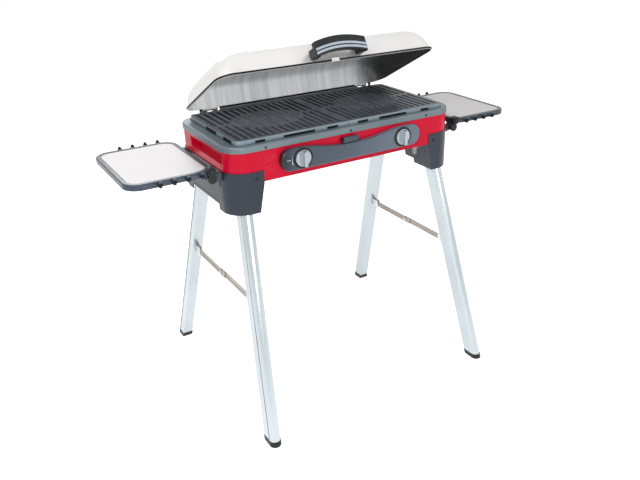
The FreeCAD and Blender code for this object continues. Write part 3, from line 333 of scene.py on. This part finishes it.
# %% Material builder
def colour(red, green, blue):
    parts = [((part / 255 + 0.055) / 1.055) ** 2.4 if part > 10 else part / 255 / 12.92
             for part in (red, green, blue)]
    return (*parts, 1.0)


def place_group(tree, group, **values):
    node = tree.nodes.new("ShaderNodeGroup")
    node.node_tree = group
    for label, value in values.items():
        node.inputs[label.replace("_", " ")].default_value = value
    return node


def make_finish(name, base, shade, rough, change=0.12, scale=8.0, amount=0.35, metal=0.0,
                grain=900.0, relief=0.05, stretch=None, wear=0.0, worn=(190, 195, 200),
                coat=0.0, gloss=0.3, streaks=0.0, streak_shade=(120, 120, 122)):
    """One finish: uneven colour and gloss, a fine relief, and brushed lines where asked."""
    material = bpy.data.materials.new(name)
    material.use_nodes = True
    tree = material.node_tree
    shader = tree.nodes["Principled BSDF"]
    shader.inputs["Metallic"].default_value = metal
    shader.inputs["Coat Weight"].default_value = coat
    shader.inputs["Coat Roughness"].default_value = 0.06
    shader.inputs["Specular IOR Level"].default_value = gloss
    uneven = place_group(tree, UNEVEN, Colour=colour(*base), Shade=colour(*shade), Scale=scale,
                         Amount=amount, Roughness=rough, Roughness_Change=change)
    tint = uneven.outputs["Colour"]
    if stretch:
        lines = place_group(tree, BRUSHED, Stretch=stretch, Scale=grain)
        height = lines.outputs["Height"]
        # Painted reflection: broad dark bands along the brushing, mixed into the colour.
        if streaks:
            share = math_node(tree, "MULTIPLY", lines.outputs["Streak"], streaks)
            tint = mix_colour(tree, share, tint, colour(*streak_shade))
    else:
        height = place_group(tree, GRAIN, Scale=grain).outputs["Height"]
    if wear:
        mask = place_group(tree, WEAR, Width=wear).outputs["Mask"]
        tint = mix_colour(tree, mask, tint, colour(*worn))
    bump = tree.nodes.new("ShaderNodeBump")
    bump.inputs["Strength"].default_value = relief
    bump.inputs["Distance"].default_value = 0.0004
    link(tree, height, bump.inputs["Height"])
    link(tree, tint, shader.inputs["Base Color"])
    link(tree, uneven.outputs["Roughness"], shader.inputs["Roughness"])
    link(tree, bump.outputs[0], shader.inputs["Normal"])
    return material


# %% The finishes of this barbecue
FINISH = {
    "red_enamel": make_finish("red_enamel", (198, 4, 44), (168, 2, 32), 0.3, 0.1, 5, 0.4,
                              grain=420, relief=0.05, coat=0.06, gloss=0.14, wear=0.12,
                              worn=(235, 120, 130)),
    "rim_paint": make_finish("rim_paint", (112, 124, 130), (92, 103, 110), 0.36, 0.14, 9, 0.5,
                             metal=0.35, grain=1300, relief=0.06, wear=0.3),
    "black_enamel": make_finish("black_enamel", (86, 91, 98), (62, 66, 72), 0.42, 0.2, 24, 0.6,
                                grain=700, relief=0.14, coat=0.1, wear=0.25,
                                worn=(130, 128, 126)),
    "oval_iron": make_finish("oval_iron", (112, 117, 122), (88, 93, 98), 0.42, 0.15, 30, 0.5,
                             grain=800, relief=0.1),
    # Near-black: the hook ends and the band on the flame strip, and painted shade on the hem, grate
    # gaps and slots.
    "hem_black": make_finish("hem_black", (20, 20, 22), (12, 12, 13), 0.45, 0.15, 18, 0.4,
                             grain=800, relief=0.1, gloss=0.15),
    # Pale steel for the flame strip and housing lips, and painted light on the grate rims.
    "border_steel": make_finish("border_steel", (136, 150, 158), (112, 126, 134), 0.34, 0.14, 14,
                                0.5, metal=0.3, grain=900, relief=0.06, wear=0.3),
    "plate_steel": make_finish("plate_steel", (208, 204, 206), (192, 189, 191), 0.42, 0.08, 4,
                               0.4, metal=0.15, grain=1100, relief=0.03,
                               stretch=(1.0, 0.02, 1.0)),
    "brace_steel": make_finish("brace_steel", (180, 175, 167), (158, 153, 146), 0.4, 0.12, 10,
                               0.5, metal=0.2, grain=900, relief=0.04),
    "firebox_black": make_finish("firebox_black", (30, 30, 32), (44, 38, 33), 0.6, 0.2, 14, 0.7,
                                 grain=500, relief=0.2),
    "galvanised": make_finish("galvanised", (168, 172, 176), (140, 145, 150), 0.42, 0.15, 40, 0.5,
                              metal=0.9, grain=600, relief=0.04),
    "brass": make_finish("brass", (190, 158, 92), (160, 124, 66), 0.3, 0.15, 30, 0.5, metal=1.0,
                         grain=900, relief=0.04),
    "gas_steel": make_finish("gas_steel", (132, 134, 138), (96, 92, 88), 0.38, 0.2, 20, 0.6,
                             metal=0.9, grain=700, relief=0.06),
    "slate_plastic": make_finish("slate_plastic", (58, 69, 82), (44, 53, 65), 0.3, 0.1, 6, 0.4,
                                 grain=1500, relief=0.08, coat=0.1, wear=0.15,
                                 worn=(130, 142, 152)),
    "housing_plastic": make_finish("housing_plastic", (40, 48, 60), (28, 34, 44), 0.34, 0.1, 6,
                                   0.4, grain=1400, relief=0.1, wear=0.15, worn=(120, 130, 140)),
    "black_plastic": make_finish("black_plastic", (26, 27, 30), (16, 17, 19), 0.42, 0.1, 12, 0.4,
                                 grain=1200, relief=0.1, wear=0.2, worn=(90, 92, 96)),
    "silver_plastic": make_finish("silver_plastic", (170, 178, 184), (140, 150, 158), 0.24, 0.08,
                                  10, 0.4, metal=0.55, grain=1600, relief=0.03, coat=0.4),
    "hood_steel": make_finish("hood_steel", (234, 233, 232), (218, 217, 216), 0.3, 0.06, 3, 0.4,
                              metal=0.55, grain=900, relief=0.03, stretch=(0.02, 1.0, 1.0)),
    # The lining's broad dark bands are painted reflection.
    "hood_lining": make_finish("hood_lining", (246, 246, 248), (226, 227, 230), 0.42, 0.08, 7, 0.4,
                               metal=0.25, grain=620, relief=0.015, stretch=(1.0, 0.03, 0.03),
                               streaks=0.5, streak_shade=(176, 178, 182)),
    "chrome": make_finish("chrome", (225, 226, 228), (205, 206, 210), 0.1, 0.04, 20, 0.3,
                          metal=1.0, grain=900, relief=0.01),
    "leg_alloy": make_finish("leg_alloy", (190, 199, 203), (166, 177, 182), 0.26, 0.06, 5, 0.4,
                             metal=0.8, grain=900, relief=0.04, stretch=(1.0, 1.0, 0.02)),
    "tray_steel": make_finish("tray_steel", (238, 239, 241), (226, 227, 230), 0.34, 0.08, 4, 0.4,
                              metal=0.45, grain=1100, relief=0.03, stretch=(1.0, 0.02, 1.0)),
    "bright_steel": make_finish("bright_steel", (196, 194, 190), (166, 163, 158), 0.32, 0.14, 24,
                                0.5, metal=0.85, grain=800, relief=0.05, wear=0.2),
    "mark_white": make_finish("mark_white", (205, 212, 218), (190, 198, 204), 0.5, 0.05, 20, 0.3,
                              grain=900, relief=0.02),
    "stripe_grey": make_finish("stripe_grey", (168, 180, 192), (150, 162, 174), 0.28, 0.08, 10,
                               0.3, grain=1200, relief=0.03, coat=0.2),
}


# %% The panel is darker at its left end, where the moulding turns away from the light
def shade_along_x(finish, dark, pale):
    tree = finish.node_tree
    shader = tree.nodes["Principled BSDF"]
    place = tree.nodes.new("ShaderNodeTexCoord").outputs["Object"]
    split = tree.nodes.new("ShaderNodeSeparateXYZ")
    link(tree, place, split.inputs[0])
    plain = shader.inputs["Base Color"].links[0].from_socket
    lighter = math_node(tree, "MULTIPLY", ramp(tree, split.outputs["X"], -0.12, 0.2), 0.75)
    darker = math_node(tree, "SUBTRACT", 1.0, ramp(tree, split.outputs["X"], -0.211, -0.165))
    first = mix_colour(tree, lighter, plain, colour(*pale))
    second = mix_colour(tree, math_node(tree, "MULTIPLY", darker, 0.9), first, colour(*dark))
    link(tree, second, shader.inputs["Base Color"])


FINISH["panel_plastic"] = make_finish("panel_plastic", (64, 75, 88), (50, 60, 72), 0.26, 0.1, 6,
                                      0.4, grain=1500, relief=0.06, coat=0.12, wear=0.15,
                                      worn=(130, 142, 152))
shade_along_x(FINISH["panel_plastic"], (16, 18, 22), (104, 117, 129))
print("finishes:", len(FINISH))

# %% [markdown]
# ## Modelling helpers
# Each new piece starts in a bmesh. `add_piece` turns it into an object, gives it its finish, and
# lets it ride with the body that carries it. Angular edges get a narrow rounded edge, because real
# folded, moulded or pressed edges always catch a line of light.


# %% Helpers for new pieces
def add_piece(name, bm, body, finish, bevel=0.0, angle=35, smooth=40, segments=2):
    """A finished object from a bmesh, with rounded edges of the given width in millimetres."""
    bmesh.ops.remove_doubles(bm, verts=bm.verts, dist=0.000005)
    bmesh.ops.recalc_face_normals(bm, faces=bm.faces)
    limit = math.radians(smooth)
    for face in bm.faces:
        face.smooth = True
    for edge in bm.edges:
        edge.smooth = len(edge.link_faces) == 2 and edge.calc_face_angle(0.0) < limit
    mesh = bpy.data.meshes.new(name)
    bm.to_mesh(mesh)
    bm.free()
    piece = bpy.data.objects.new(name, mesh)
    bpy.context.collection.objects.link(piece)
    mesh.materials.append(FINISH[finish])
    if bevel:
        rounding = piece.modifiers.new("rounded_edges", "BEVEL")
        rounding.width = bevel * MM
        rounding.segments = segments
        rounding.limit_method = "ANGLE"
        rounding.angle_limit = math.radians(angle)
        rounding.harden_normals = True
        rounding.use_clamp_overlap = True
    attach(piece, body)
    return piece


def box_piece(bm, low, high):
    """Adds a block between two corners, in metres."""
    made = bmesh.ops.create_cube(bm, size=1)
    for vertex in made["verts"]:
        vertex.co = Vector([(low[axis] + high[axis]) / 2 + vertex.co[axis] * (high[axis] - low[axis])
                            for axis in range(3)])
    return made["verts"]


def disc_piece(bm, centre, axis, radius, depth, sides=32, tip=None):
    """Adds a round bar of the given depth, centred, along an axis; tip is a smaller far radius."""
    turn = Vector(axis).to_track_quat("Z", "Y").to_matrix().to_4x4()
    made = bmesh.ops.create_cone(bm, cap_ends=True, segments=sides, radius1=radius,
                                 radius2=radius if tip is None else tip, depth=depth,
                                 matrix=Matrix.Translation(centre) @ turn)
    return made["verts"]


def node_mesh(node):
    """A bmesh copy of a CAD node, with its seams joined and its flat areas made whole."""
    bm = bmesh.new()
    bm.from_mesh(frame["nodes"][node].data)
    bmesh.ops.remove_doubles(bm, verts=bm.verts, dist=0.00001)
    bmesh.ops.dissolve_limit(bm, angle_limit=math.radians(0.6), verts=bm.verts, edges=bm.edges)
    return bm


def body_of(node):
    """The CAD body that a node rides on."""
    return frame["nodes"][node].parent.name.replace("body:", "")


def refine(node, finish, bevel=0.5, smooth=40, segments=2):
    """A copy of a node with softened edges and a new finish, shown in its place."""
    piece = add_piece("soft_" + node, node_mesh(node), body_of(node), finish,
                      bevel, smooth=smooth, segments=segments)
    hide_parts(node)
    return piece


print("helpers ready")

# %% [markdown]
# ## Pieces whose shape is already right
# These need only softened edges and their finish.

# %% Soften the plain pieces
PLAIN = {
    "body_shell": ("red_enamel", 0.6), "top_frame": ("rim_paint", 0.8),
    "firebox": ("firebox_black", 0.8), "grease_tray": ("galvanised", 0.4),
    "burners": ("gas_steel", 0.3), "gas_valves": ("brass", 0.3),
    "gas_manifold": ("gas_steel", 0.3), "gas_inlet": ("gas_steel", 0.2),
    "control_panel": ("panel_plastic", 0.9), "knob_bezels": ("black_plastic", 0.5),
    "latch_base": ("black_plastic", 0.5), "latch_lever": ("slate_plastic", 0.5),
    "latch_pin": ("bright_steel", 0.2),
    "lid_catch": ("chrome", 0.4), "hinge_frame_leaves": ("bright_steel", 0.2),
    "hinge_lid_leaves": ("bright_steel", 0.2), "hinge_pins": ("bright_steel", 0.2),
    "housing_screw_heads": ("black_plastic", 0.3), "leg_pivot_pins": ("bright_steel", 0.3),
}
for side, _ in SIDES:
    PLAIN["valve_spindle_" + side] = ("gas_steel", 0.2)
    PLAIN["control_knob_" + side] = ("silver_plastic", 0.8)
    PLAIN["leg_housing_" + side] = ("housing_plastic", 0.9)
    PLAIN["table_frame_" + side] = ("slate_plastic", 2.2)
    PLAIN["table_plate_" + side] = ("plate_steel", 0.3)
    PLAIN["table_arms_" + side] = ("slate_plastic", 0.4)
    PLAIN["table_pins_" + side] = ("bright_steel", 0.2)
    PLAIN["thumb_knob_" + side] = ("black_plastic", 0.7)
    for end, _ in ENDS:
        both = end + "_" + side
        PLAIN["leg_" + both] = ("leg_alloy", 0.8)
        PLAIN["foot_plug_" + both] = ("black_plastic", 0.6)
        PLAIN["brace_" + both] = ("brace_steel", 0.3)
        PLAIN["brace_stud_" + both] = ("bright_steel", 0.3)
        PLAIN["brace_clip_" + both] = ("tray_steel", 0.3)
for node, (finish, width) in PLAIN.items():
    refine(node, finish, width)
print("softened pieces:", len(PLAIN))

# %% [markdown]
# ## The hood
# The hood is a shallow pressed shell. It stands open at rest, so places on it are worked out in its
# own flat frame first (across, back to front, up) and then tilted about the hinge line.
# Outer and inner faces get different finishes: the inside is brighter and brushed, with bands of
# painted reflection. Painted shade and dark reflection darken it towards the front and the right-hand
# end, from object coordinates.

# %% Places on the hood
HINGE = Vector((0, 0.164, 0.7585))
OPEN = math.radians(28)
TILT = Matrix.Translation(HINGE) @ Matrix.Rotation(-OPEN, 4, "X")
LID_FRONT, LID_BACK, LID_HALF = -0.30285, -0.00485, 0.319


def tilt(bm):
    bmesh.ops.transform(bm, matrix=TILT, verts=bm.verts)


def tube(bm, points, radius, closed=False, sides=8):
    """Adds a round bar through the points, closed into a ring if asked."""
    rings = []
    count = len(points)
    for index, place in enumerate(points):
        before = points[(index - 1) % count] if closed or index else place
        after = points[(index + 1) % count] if closed or index < count - 1 else place
        along = (Vector(after) - Vector(before)).normalized()
        across = along.cross(Vector((0.01, 0.02, 1))).normalized()
        upward = across.cross(along)
        rings.append([bm.verts.new(Vector(place) + radius * (across * math.cos(turn)
                                                            + upward * math.sin(turn)))
                      for turn in (2 * math.pi * step / sides for step in range(sides))])
    for index in range(count if closed else count - 1):
        first, second = rings[index], rings[(index + 1) % count]
        for step in range(sides):
            after = (step + 1) % sides
            bm.faces.new((first[step], first[after], second[after], second[step]))
    if not closed:
        bm.faces.new(rings[0])
        bm.faces.new(rings[-1])


def rounded_loop(half_x, low_y, high_y, corner, level, steps=8):
    """Points of a rectangle with round corners, level above the floor of its frame."""
    points = []
    for sign_x, sign_y, start in ((1, 1, 0), (-1, 1, 90), (-1, -1, 180), (1, -1, 270)):
        centre_x = sign_x * (half_x - corner)
        centre_y = (high_y - corner) if sign_y > 0 else (low_y + corner)
        for step in range(steps + 1):
            turn = math.radians(start + 90 * step / steps)
            points.append((centre_x + corner * math.cos(turn), centre_y + corner * math.sin(turn),
                           level))
    return points


print("hood tilted by", round(math.degrees(OPEN)), "degrees")


# %% Painted shade and dark reflection inside the hood
def build_painted_shade_group():
    tree, given, out = new_group("Smoke Stain", [("Amount", "NodeSocketFloat", 1.0)],
                                 [("Mask", "NodeSocketFloat")])
    place = tree.nodes.new("ShaderNodeTexCoord").outputs["Object"]
    split = tree.nodes.new("ShaderNodeSeparateXYZ")
    link(tree, place, split.inputs[0])
    back = math_node(tree, "SUBTRACT", split.outputs["Y"], HINGE.y)
    up = math_node(tree, "SUBTRACT", split.outputs["Z"], HINGE.z)
    depth = math_node(tree, "SUBTRACT", math_node(tree, "MULTIPLY", back, math.cos(OPEN)),
                      math_node(tree, "MULTIPLY", up, math.sin(OPEN)))
    drift = math_node(tree, "MULTIPLY_ADD", noise(tree, place, 9.0, 3.0), 0.07, -0.035)
    across = math_node(tree, "ADD", split.outputs["X"], drift)
    to_front = ramp(tree, math_node(tree, "ADD", math_node(tree, "MULTIPLY", depth, -1.0), drift),
                    0.2, 0.3)
    to_right = ramp(tree, across, 0.205, 0.29)
    either = math_node(tree, "MAXIMUM", to_front, to_right)
    link(tree, math_node(tree, "MULTIPLY", either, given.outputs["Amount"]), out.inputs["Mask"])
    return tree


PAINTED_SHADE = build_painted_shade_group()
lining_tree = FINISH["hood_lining"].node_tree
lining_shader = lining_tree.nodes["Principled BSDF"]
bright = lining_shader.inputs["Base Color"].links[0].from_socket
painted_shade = place_group(lining_tree, PAINTED_SHADE, Amount=0.93)
# Painted shade: the lining is mixed towards near-black at the front and the right-hand end.
shaded = mix_colour(lining_tree, painted_shade.outputs["Mask"], bright, colour(34, 34, 32))
link(lining_tree, shaded, lining_shader.inputs["Base Color"])
print("lining stained")

# %% Hood shell, with its lining
hood_bm = node_mesh("lid_shell")
middle = TILT @ Vector((0, (LID_FRONT + LID_BACK) / 2, 0.02))
for face in hood_bm.faces:
    face.normal_update()
    inward = (middle - face.calc_center_median()).normalized()
    face.material_index = 1 if face.normal.dot(inward) > 0 else 0
hood = add_piece("hood", hood_bm, "lid", "hood_steel", smooth=30)
hood.data.materials.append(FINISH["hood_lining"])
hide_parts("lid_shell")
print("hood faces:", len(hood.data.polygons))

# %% Rolled hem round the opening, black as painted shade and dark reflection
bm = bmesh.new()
tube(bm, rounded_loop(LID_HALF + 0.0004, LID_FRONT - 0.0004, LID_BACK + 0.0004, 0.04, 0.0036),
     0.0021, closed=True)
tilt(bm)
hem = add_piece("hood_hem", bm, "lid", "hem_black", smooth=60)

# %% [markdown]
# The slot under the hinge line is closed by a strip with a near-black band along its top. Both are cut
# away beside the two hinges, and end where the corners of the hood begin to curve in.

# %% Flame strip and its dark top band
HINGE_LINE_RUNS = ((-0.278, -0.2695), (-0.2205, 0.2205), (0.2695, 0.278))


bm = bmesh.new()
for left, right in HINGE_LINE_RUNS:
    box_piece(bm, (left, 0.1522, 0.7465), (right, 0.1552, 0.7592))
strip = add_piece("flame_strip", bm, "base", "border_steel", bevel=0.6)
bm = bmesh.new()
for left, right in HINGE_LINE_RUNS:
    box_piece(bm, (left, 0.1520, 0.7588), (right, 0.1552, 0.7636))
dark_top = add_piece("flame_seal", bm, "base", "hem_black", bevel=0.6)

# %% Hinge screws on the inner back wall
bm = bmesh.new()
for hinge in (-0.245, 0.245):
    for shift in (-0.02, 0.02):
        disc_piece(bm, (hinge + shift, LID_BACK - 0.0026, 0.012), (0, 1, 0), 0.0034, 0.0024, 20)
tilt(bm)
screws = add_piece("hinge_screws", bm, "lid", "black_plastic", bevel=0.5)
print("hem, strip and screws added")

# %% [markdown]
# ## Handle and catch
# The handle is one arched bar. Its section is swept along a shallow bow, and two pale stripes are
# let into the lower half of the front face.

# %% Handle
HANDLE_HALF, BOW = 0.075, 0.011


def bow_rise(across):
    return BOW * (1 - (across / HANDLE_HALF) ** 2)


def arched_bar(bm, low, high, front, back, half=HANDLE_HALF, steps=28):
    """A bar between two heights that follows the bow of the handle."""
    rings = []
    for step in range(steps + 1):
        across = -half + 2 * half * step / steps
        lift = bow_rise(across)
        rings.append([bm.verts.new((across, depth, level + lift)) for depth, level in
                      ((front, low), (front, high), (back, high), (back, low))])
    for first, second in zip(rings, rings[1:]):
        for side in range(4):
            after = (side + 1) % 4
            bm.faces.new((first[side], first[after], second[after], second[side]))
    bm.faces.new(rings[0])
    bm.faces.new(rings[-1])


bm = bmesh.new()
arched_bar(bm, 0.008, 0.045, -0.3345, -0.3215)
for sign in (-1, 1):
    box_piece(bm, (sign * 0.066 - 0.009, -0.3225, 0.010), (sign * 0.066 + 0.009, -0.2995, 0.034))
tilt(bm)
handle = add_piece("handle", bm, "lid", "black_plastic", bevel=2.2,
                   angle=50, segments=3)
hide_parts("lid_handle")
for name, low, high in (
        ("handle_stripe_low", 0.0125, 0.0185), ("handle_stripe_high", 0.0215, 0.0275)):
    bm = bmesh.new()
    arched_bar(bm, low, high, -0.3362, -0.334, half=0.0725)
    tilt(bm)
    add_piece(name, bm, "lid", "stripe_grey", bevel=0.8, angle=50)
print("handle made")

# %% [markdown]
# ## Grates
# The cast grates keep their frame. The rim that faces the cook, the back rim and the outer end of the
# left grate are painted pale as painted light; the closed ovals in the middle carry fine ribs, cut to
# the outline of the oval.

# %% Grate frame, ribs, and near-black strips of painted shade in the foot gaps
OVAL_HALF_X, OVAL_HALF_Y = 0.1, 0.075
GRATE_TOP = 0.757
for side, sign in SIDES:
    node = "grate_" + side
    low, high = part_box(node)
    bm = node_mesh(node)
    bmesh.ops.recalc_face_normals(bm, faces=bm.faces)
    # Painted light: the front, back and left-end faces of the rim take the pale second finish.
    for face in bm.faces:
        place = face.calc_center_median()
        lit_front = place.y < low.y + 0.0115
        lit_end = sign < 0 and place.x < low.x + 0.0115
        lit_back = place.y > high.y - 0.004
        face.material_index = 1 if lit_front or lit_end or lit_back else 0
    grate = add_piece("cast_" + node, bm, node, "black_enamel", bevel=0.8)
    grate.data.materials.append(FINISH["border_steel"])
    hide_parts(node)
    centre = (low + high) / 2
    bm = bmesh.new()
    count = 38
    for step in range(count):
        across = -OVAL_HALF_X + 2 * OVAL_HALF_X * (step + 0.5) / count
        reach = OVAL_HALF_Y * math.sqrt(1 - (across / OVAL_HALF_X) ** 2) - 0.002
        if reach > 0.004:
            box_piece(bm, (centre.x + across - 0.0013, centre.y - reach, GRATE_TOP - 0.0024),
                      (centre.x + across + 0.0013, centre.y + reach, GRATE_TOP - 0.0003))
    add_piece("ribs_" + side, bm, node, "oval_iron", bevel=0.5, segments=1)
    # Painted shade: thin near-black strips where the gaps under the front rim and at the outer end look
    # dark.
    bm = bmesh.new()
    for left, right in ((0.03, 0.062), (0.098, 0.186), (0.236, 0.262)):
        box_piece(bm, (sign * left if sign > 0 else -right, low.y - 0.0009, 0.7468),
                  (right if sign > 0 else -left, low.y + 0.002, 0.7522))
    for near, far in ((-0.12, -0.075), (-0.03, 0.03)):
        edge = low.x if sign < 0 else high.x
        box_piece(bm, (edge - 0.0009, near, 0.7468), (edge + 0.0009, far, 0.7545))
    add_piece("foot_gaps_" + side, bm, node, "hem_black", bevel=0.3)
print("grates ribbed")

# %% [markdown]
# ## Small things on the casing
# Rim screws, black rings round the knobs, the marks for the flame, and painted shade in each housing
# slot.

# %% Rim screws
bm = bmesh.new()
for across in (-0.2445, -0.003, 0.2405):
    disc_piece(bm, (across, -0.1639, 0.7372), (0, 1, 0), 0.0029, 0.0016, 20)
add_piece("rim_screws", bm, "base", "black_plastic", bevel=0.4)


# %% Rings round the knobs
def flat_ring(bm, centre, inner, outer, depth, sides=64):
    """A washer that faces the front."""
    rows = []
    for radius, back in ((inner, 0), (outer, 0), (outer, depth), (inner, depth)):
        rows.append([bm.verts.new((centre[0] + radius * math.cos(2 * math.pi * step / sides),
                                   centre[1] + back,
                                   centre[2] + radius * math.sin(2 * math.pi * step / sides)))
                     for step in range(sides)])
    for first in range(4):
        second = (first + 1) % 4
        for step in range(sides):
            after = (step + 1) % sides
            bm.faces.new((rows[first][step], rows[first][after], rows[second][after],
                          rows[second][step]))


for side, sign in SIDES:
    bm = bmesh.new()
    flat_ring(bm, (sign * 0.152, -0.1786, 0.697), 0.0222, 0.0268, 0.0026)
    add_piece("knob_ring_" + side, bm, "base", "black_plastic", bevel=0.9)

# %% Flame marks left of the left knob
bm = bmesh.new()
box_piece(bm, (-0.1965, -0.1768, 0.6965), (-0.1865, -0.1760, 0.6977))
for step in range(14):
    turn = math.radians(158 + 3.4 * step)
    place = (-0.152 + 0.0305 * math.cos(turn), -0.1764, 0.697 + 0.0305 * math.sin(turn))
    disc_piece(bm, place, (0, 1, 0), 0.0004 + 0.00006 * step, 0.0008, 10)
add_piece("flame_marks", bm, "base", "mark_white")

# %% Housing slots filled with painted shade, and lip lines
for side, sign in SIDES:
    # Painted shade: a near-black block stands for the dark inside of each slot.
    bm = bmesh.new()
    face_x = sign * 0.3436
    for end, front in ENDS:
        box_piece(bm, (min(face_x, face_x - sign * 0.002), front * 0.1035 - 0.0045, 0.642),
                  (max(face_x, face_x - sign * 0.002), front * 0.1035 + 0.0045, 0.681))
    add_piece("housing_slots_" + side, bm, "base", "hem_black", bevel=0.4)
    bm = bmesh.new()
    path = [(sign * 0.3434, along, 0.5945) for along in (-0.078, -0.04, 0.04, 0.078)]
    tube(bm, path, 0.0011, sides=6)
    add_piece("housing_lip_" + side, bm, "base", "border_steel")
print("small things added")

# %% [markdown]
# ## Leg rails and brace fittings
# Each leg is a drawn profile, so a fine groove runs down the whole of its outer face.

# %% Leg grooves
LEG_TILT_X, LEG_TILT_Y = math.tan(math.radians(4.85)), math.tan(math.radians(16.93))


def leg_centre(sign_x, sign_y, level):
    drop = 0.58 - level
    return Vector((sign_x * (0.2976 + drop * LEG_TILT_X), sign_y * (0.135 + drop * LEG_TILT_Y),
                   level))


for side, sign_x in SIDES:
    for end, sign_y in ENDS:
        bm = bmesh.new()
        shift = Vector((sign_x * 0.0146, sign_y * 0.007, 0))
        line = [leg_centre(sign_x, sign_y, level) + shift for level in (0.572, 0.3, 0.018)]
        tube(bm, line, 0.0012, sides=6)
        add_piece("groove_" + end + "_" + side, bm, "leg_" + end + "_" + side, "gas_steel")
print("leg spread at the floor:", [round(value, 3) for value in leg_centre(1, 1, 0)])

# %% [markdown]
# Seen from a distance each brace bar reads as whole, so a thin backing strip stands behind its slot.
# It is for looks only: the stud really slides in the slot, and MuJoCo keeps the slot open.

# %% Backing strips behind the brace slots
for side, sign_x in SIDES:
    for end, sign_y in ENDS:
        node = "brace_" + end + "_" + side
        low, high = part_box(node)
        inner = (low.x + high.x) / 2
        bm = bmesh.new()
        box_piece(bm, (inner - 0.0004, low.y + 0.004, 0.3462), (inner + 0.0004, high.y - 0.004, 0.3538))
        add_piece("plate_" + end + "_" + side, bm, node, "brace_steel")
print("backing strips added")

# %% [markdown]
# ## Side tables
# Each table gets round ends on its hooks and a boss over the pivot, where a hand takes hold.

# %% Hook ends and pivot bosses
for side, sign in SIDES:
    low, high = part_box("table_frame_" + side)
    bm = bmesh.new()
    for place in (0.403, 0.436, 0.469, 0.502):
        for edge in (low.y, high.y):
            inward = 0.0035 if edge < 0 else -0.0035
            bmesh.ops.create_uvsphere(bm, u_segments=20, v_segments=12, radius=0.006,
                                      matrix=Matrix.Translation((sign * place, edge + inward,
                                                                 high.z - 0.008)))
    add_piece("hook_ends_" + side, bm, "table_" + side, "hem_black")
    bm = bmesh.new()
    disc_piece(bm, (sign * 0.374, -0.131, 0.695), (0, 1, 0), 0.0115, 0.016, 40)
    disc_piece(bm, (sign * 0.374, -0.1395, 0.695), (0, 1, 0), 0.0075, 0.006, 32)
    add_piece("pivot_boss_" + side, bm, "table_" + side, "black_plastic", bevel=1.2)
print("tables finished")
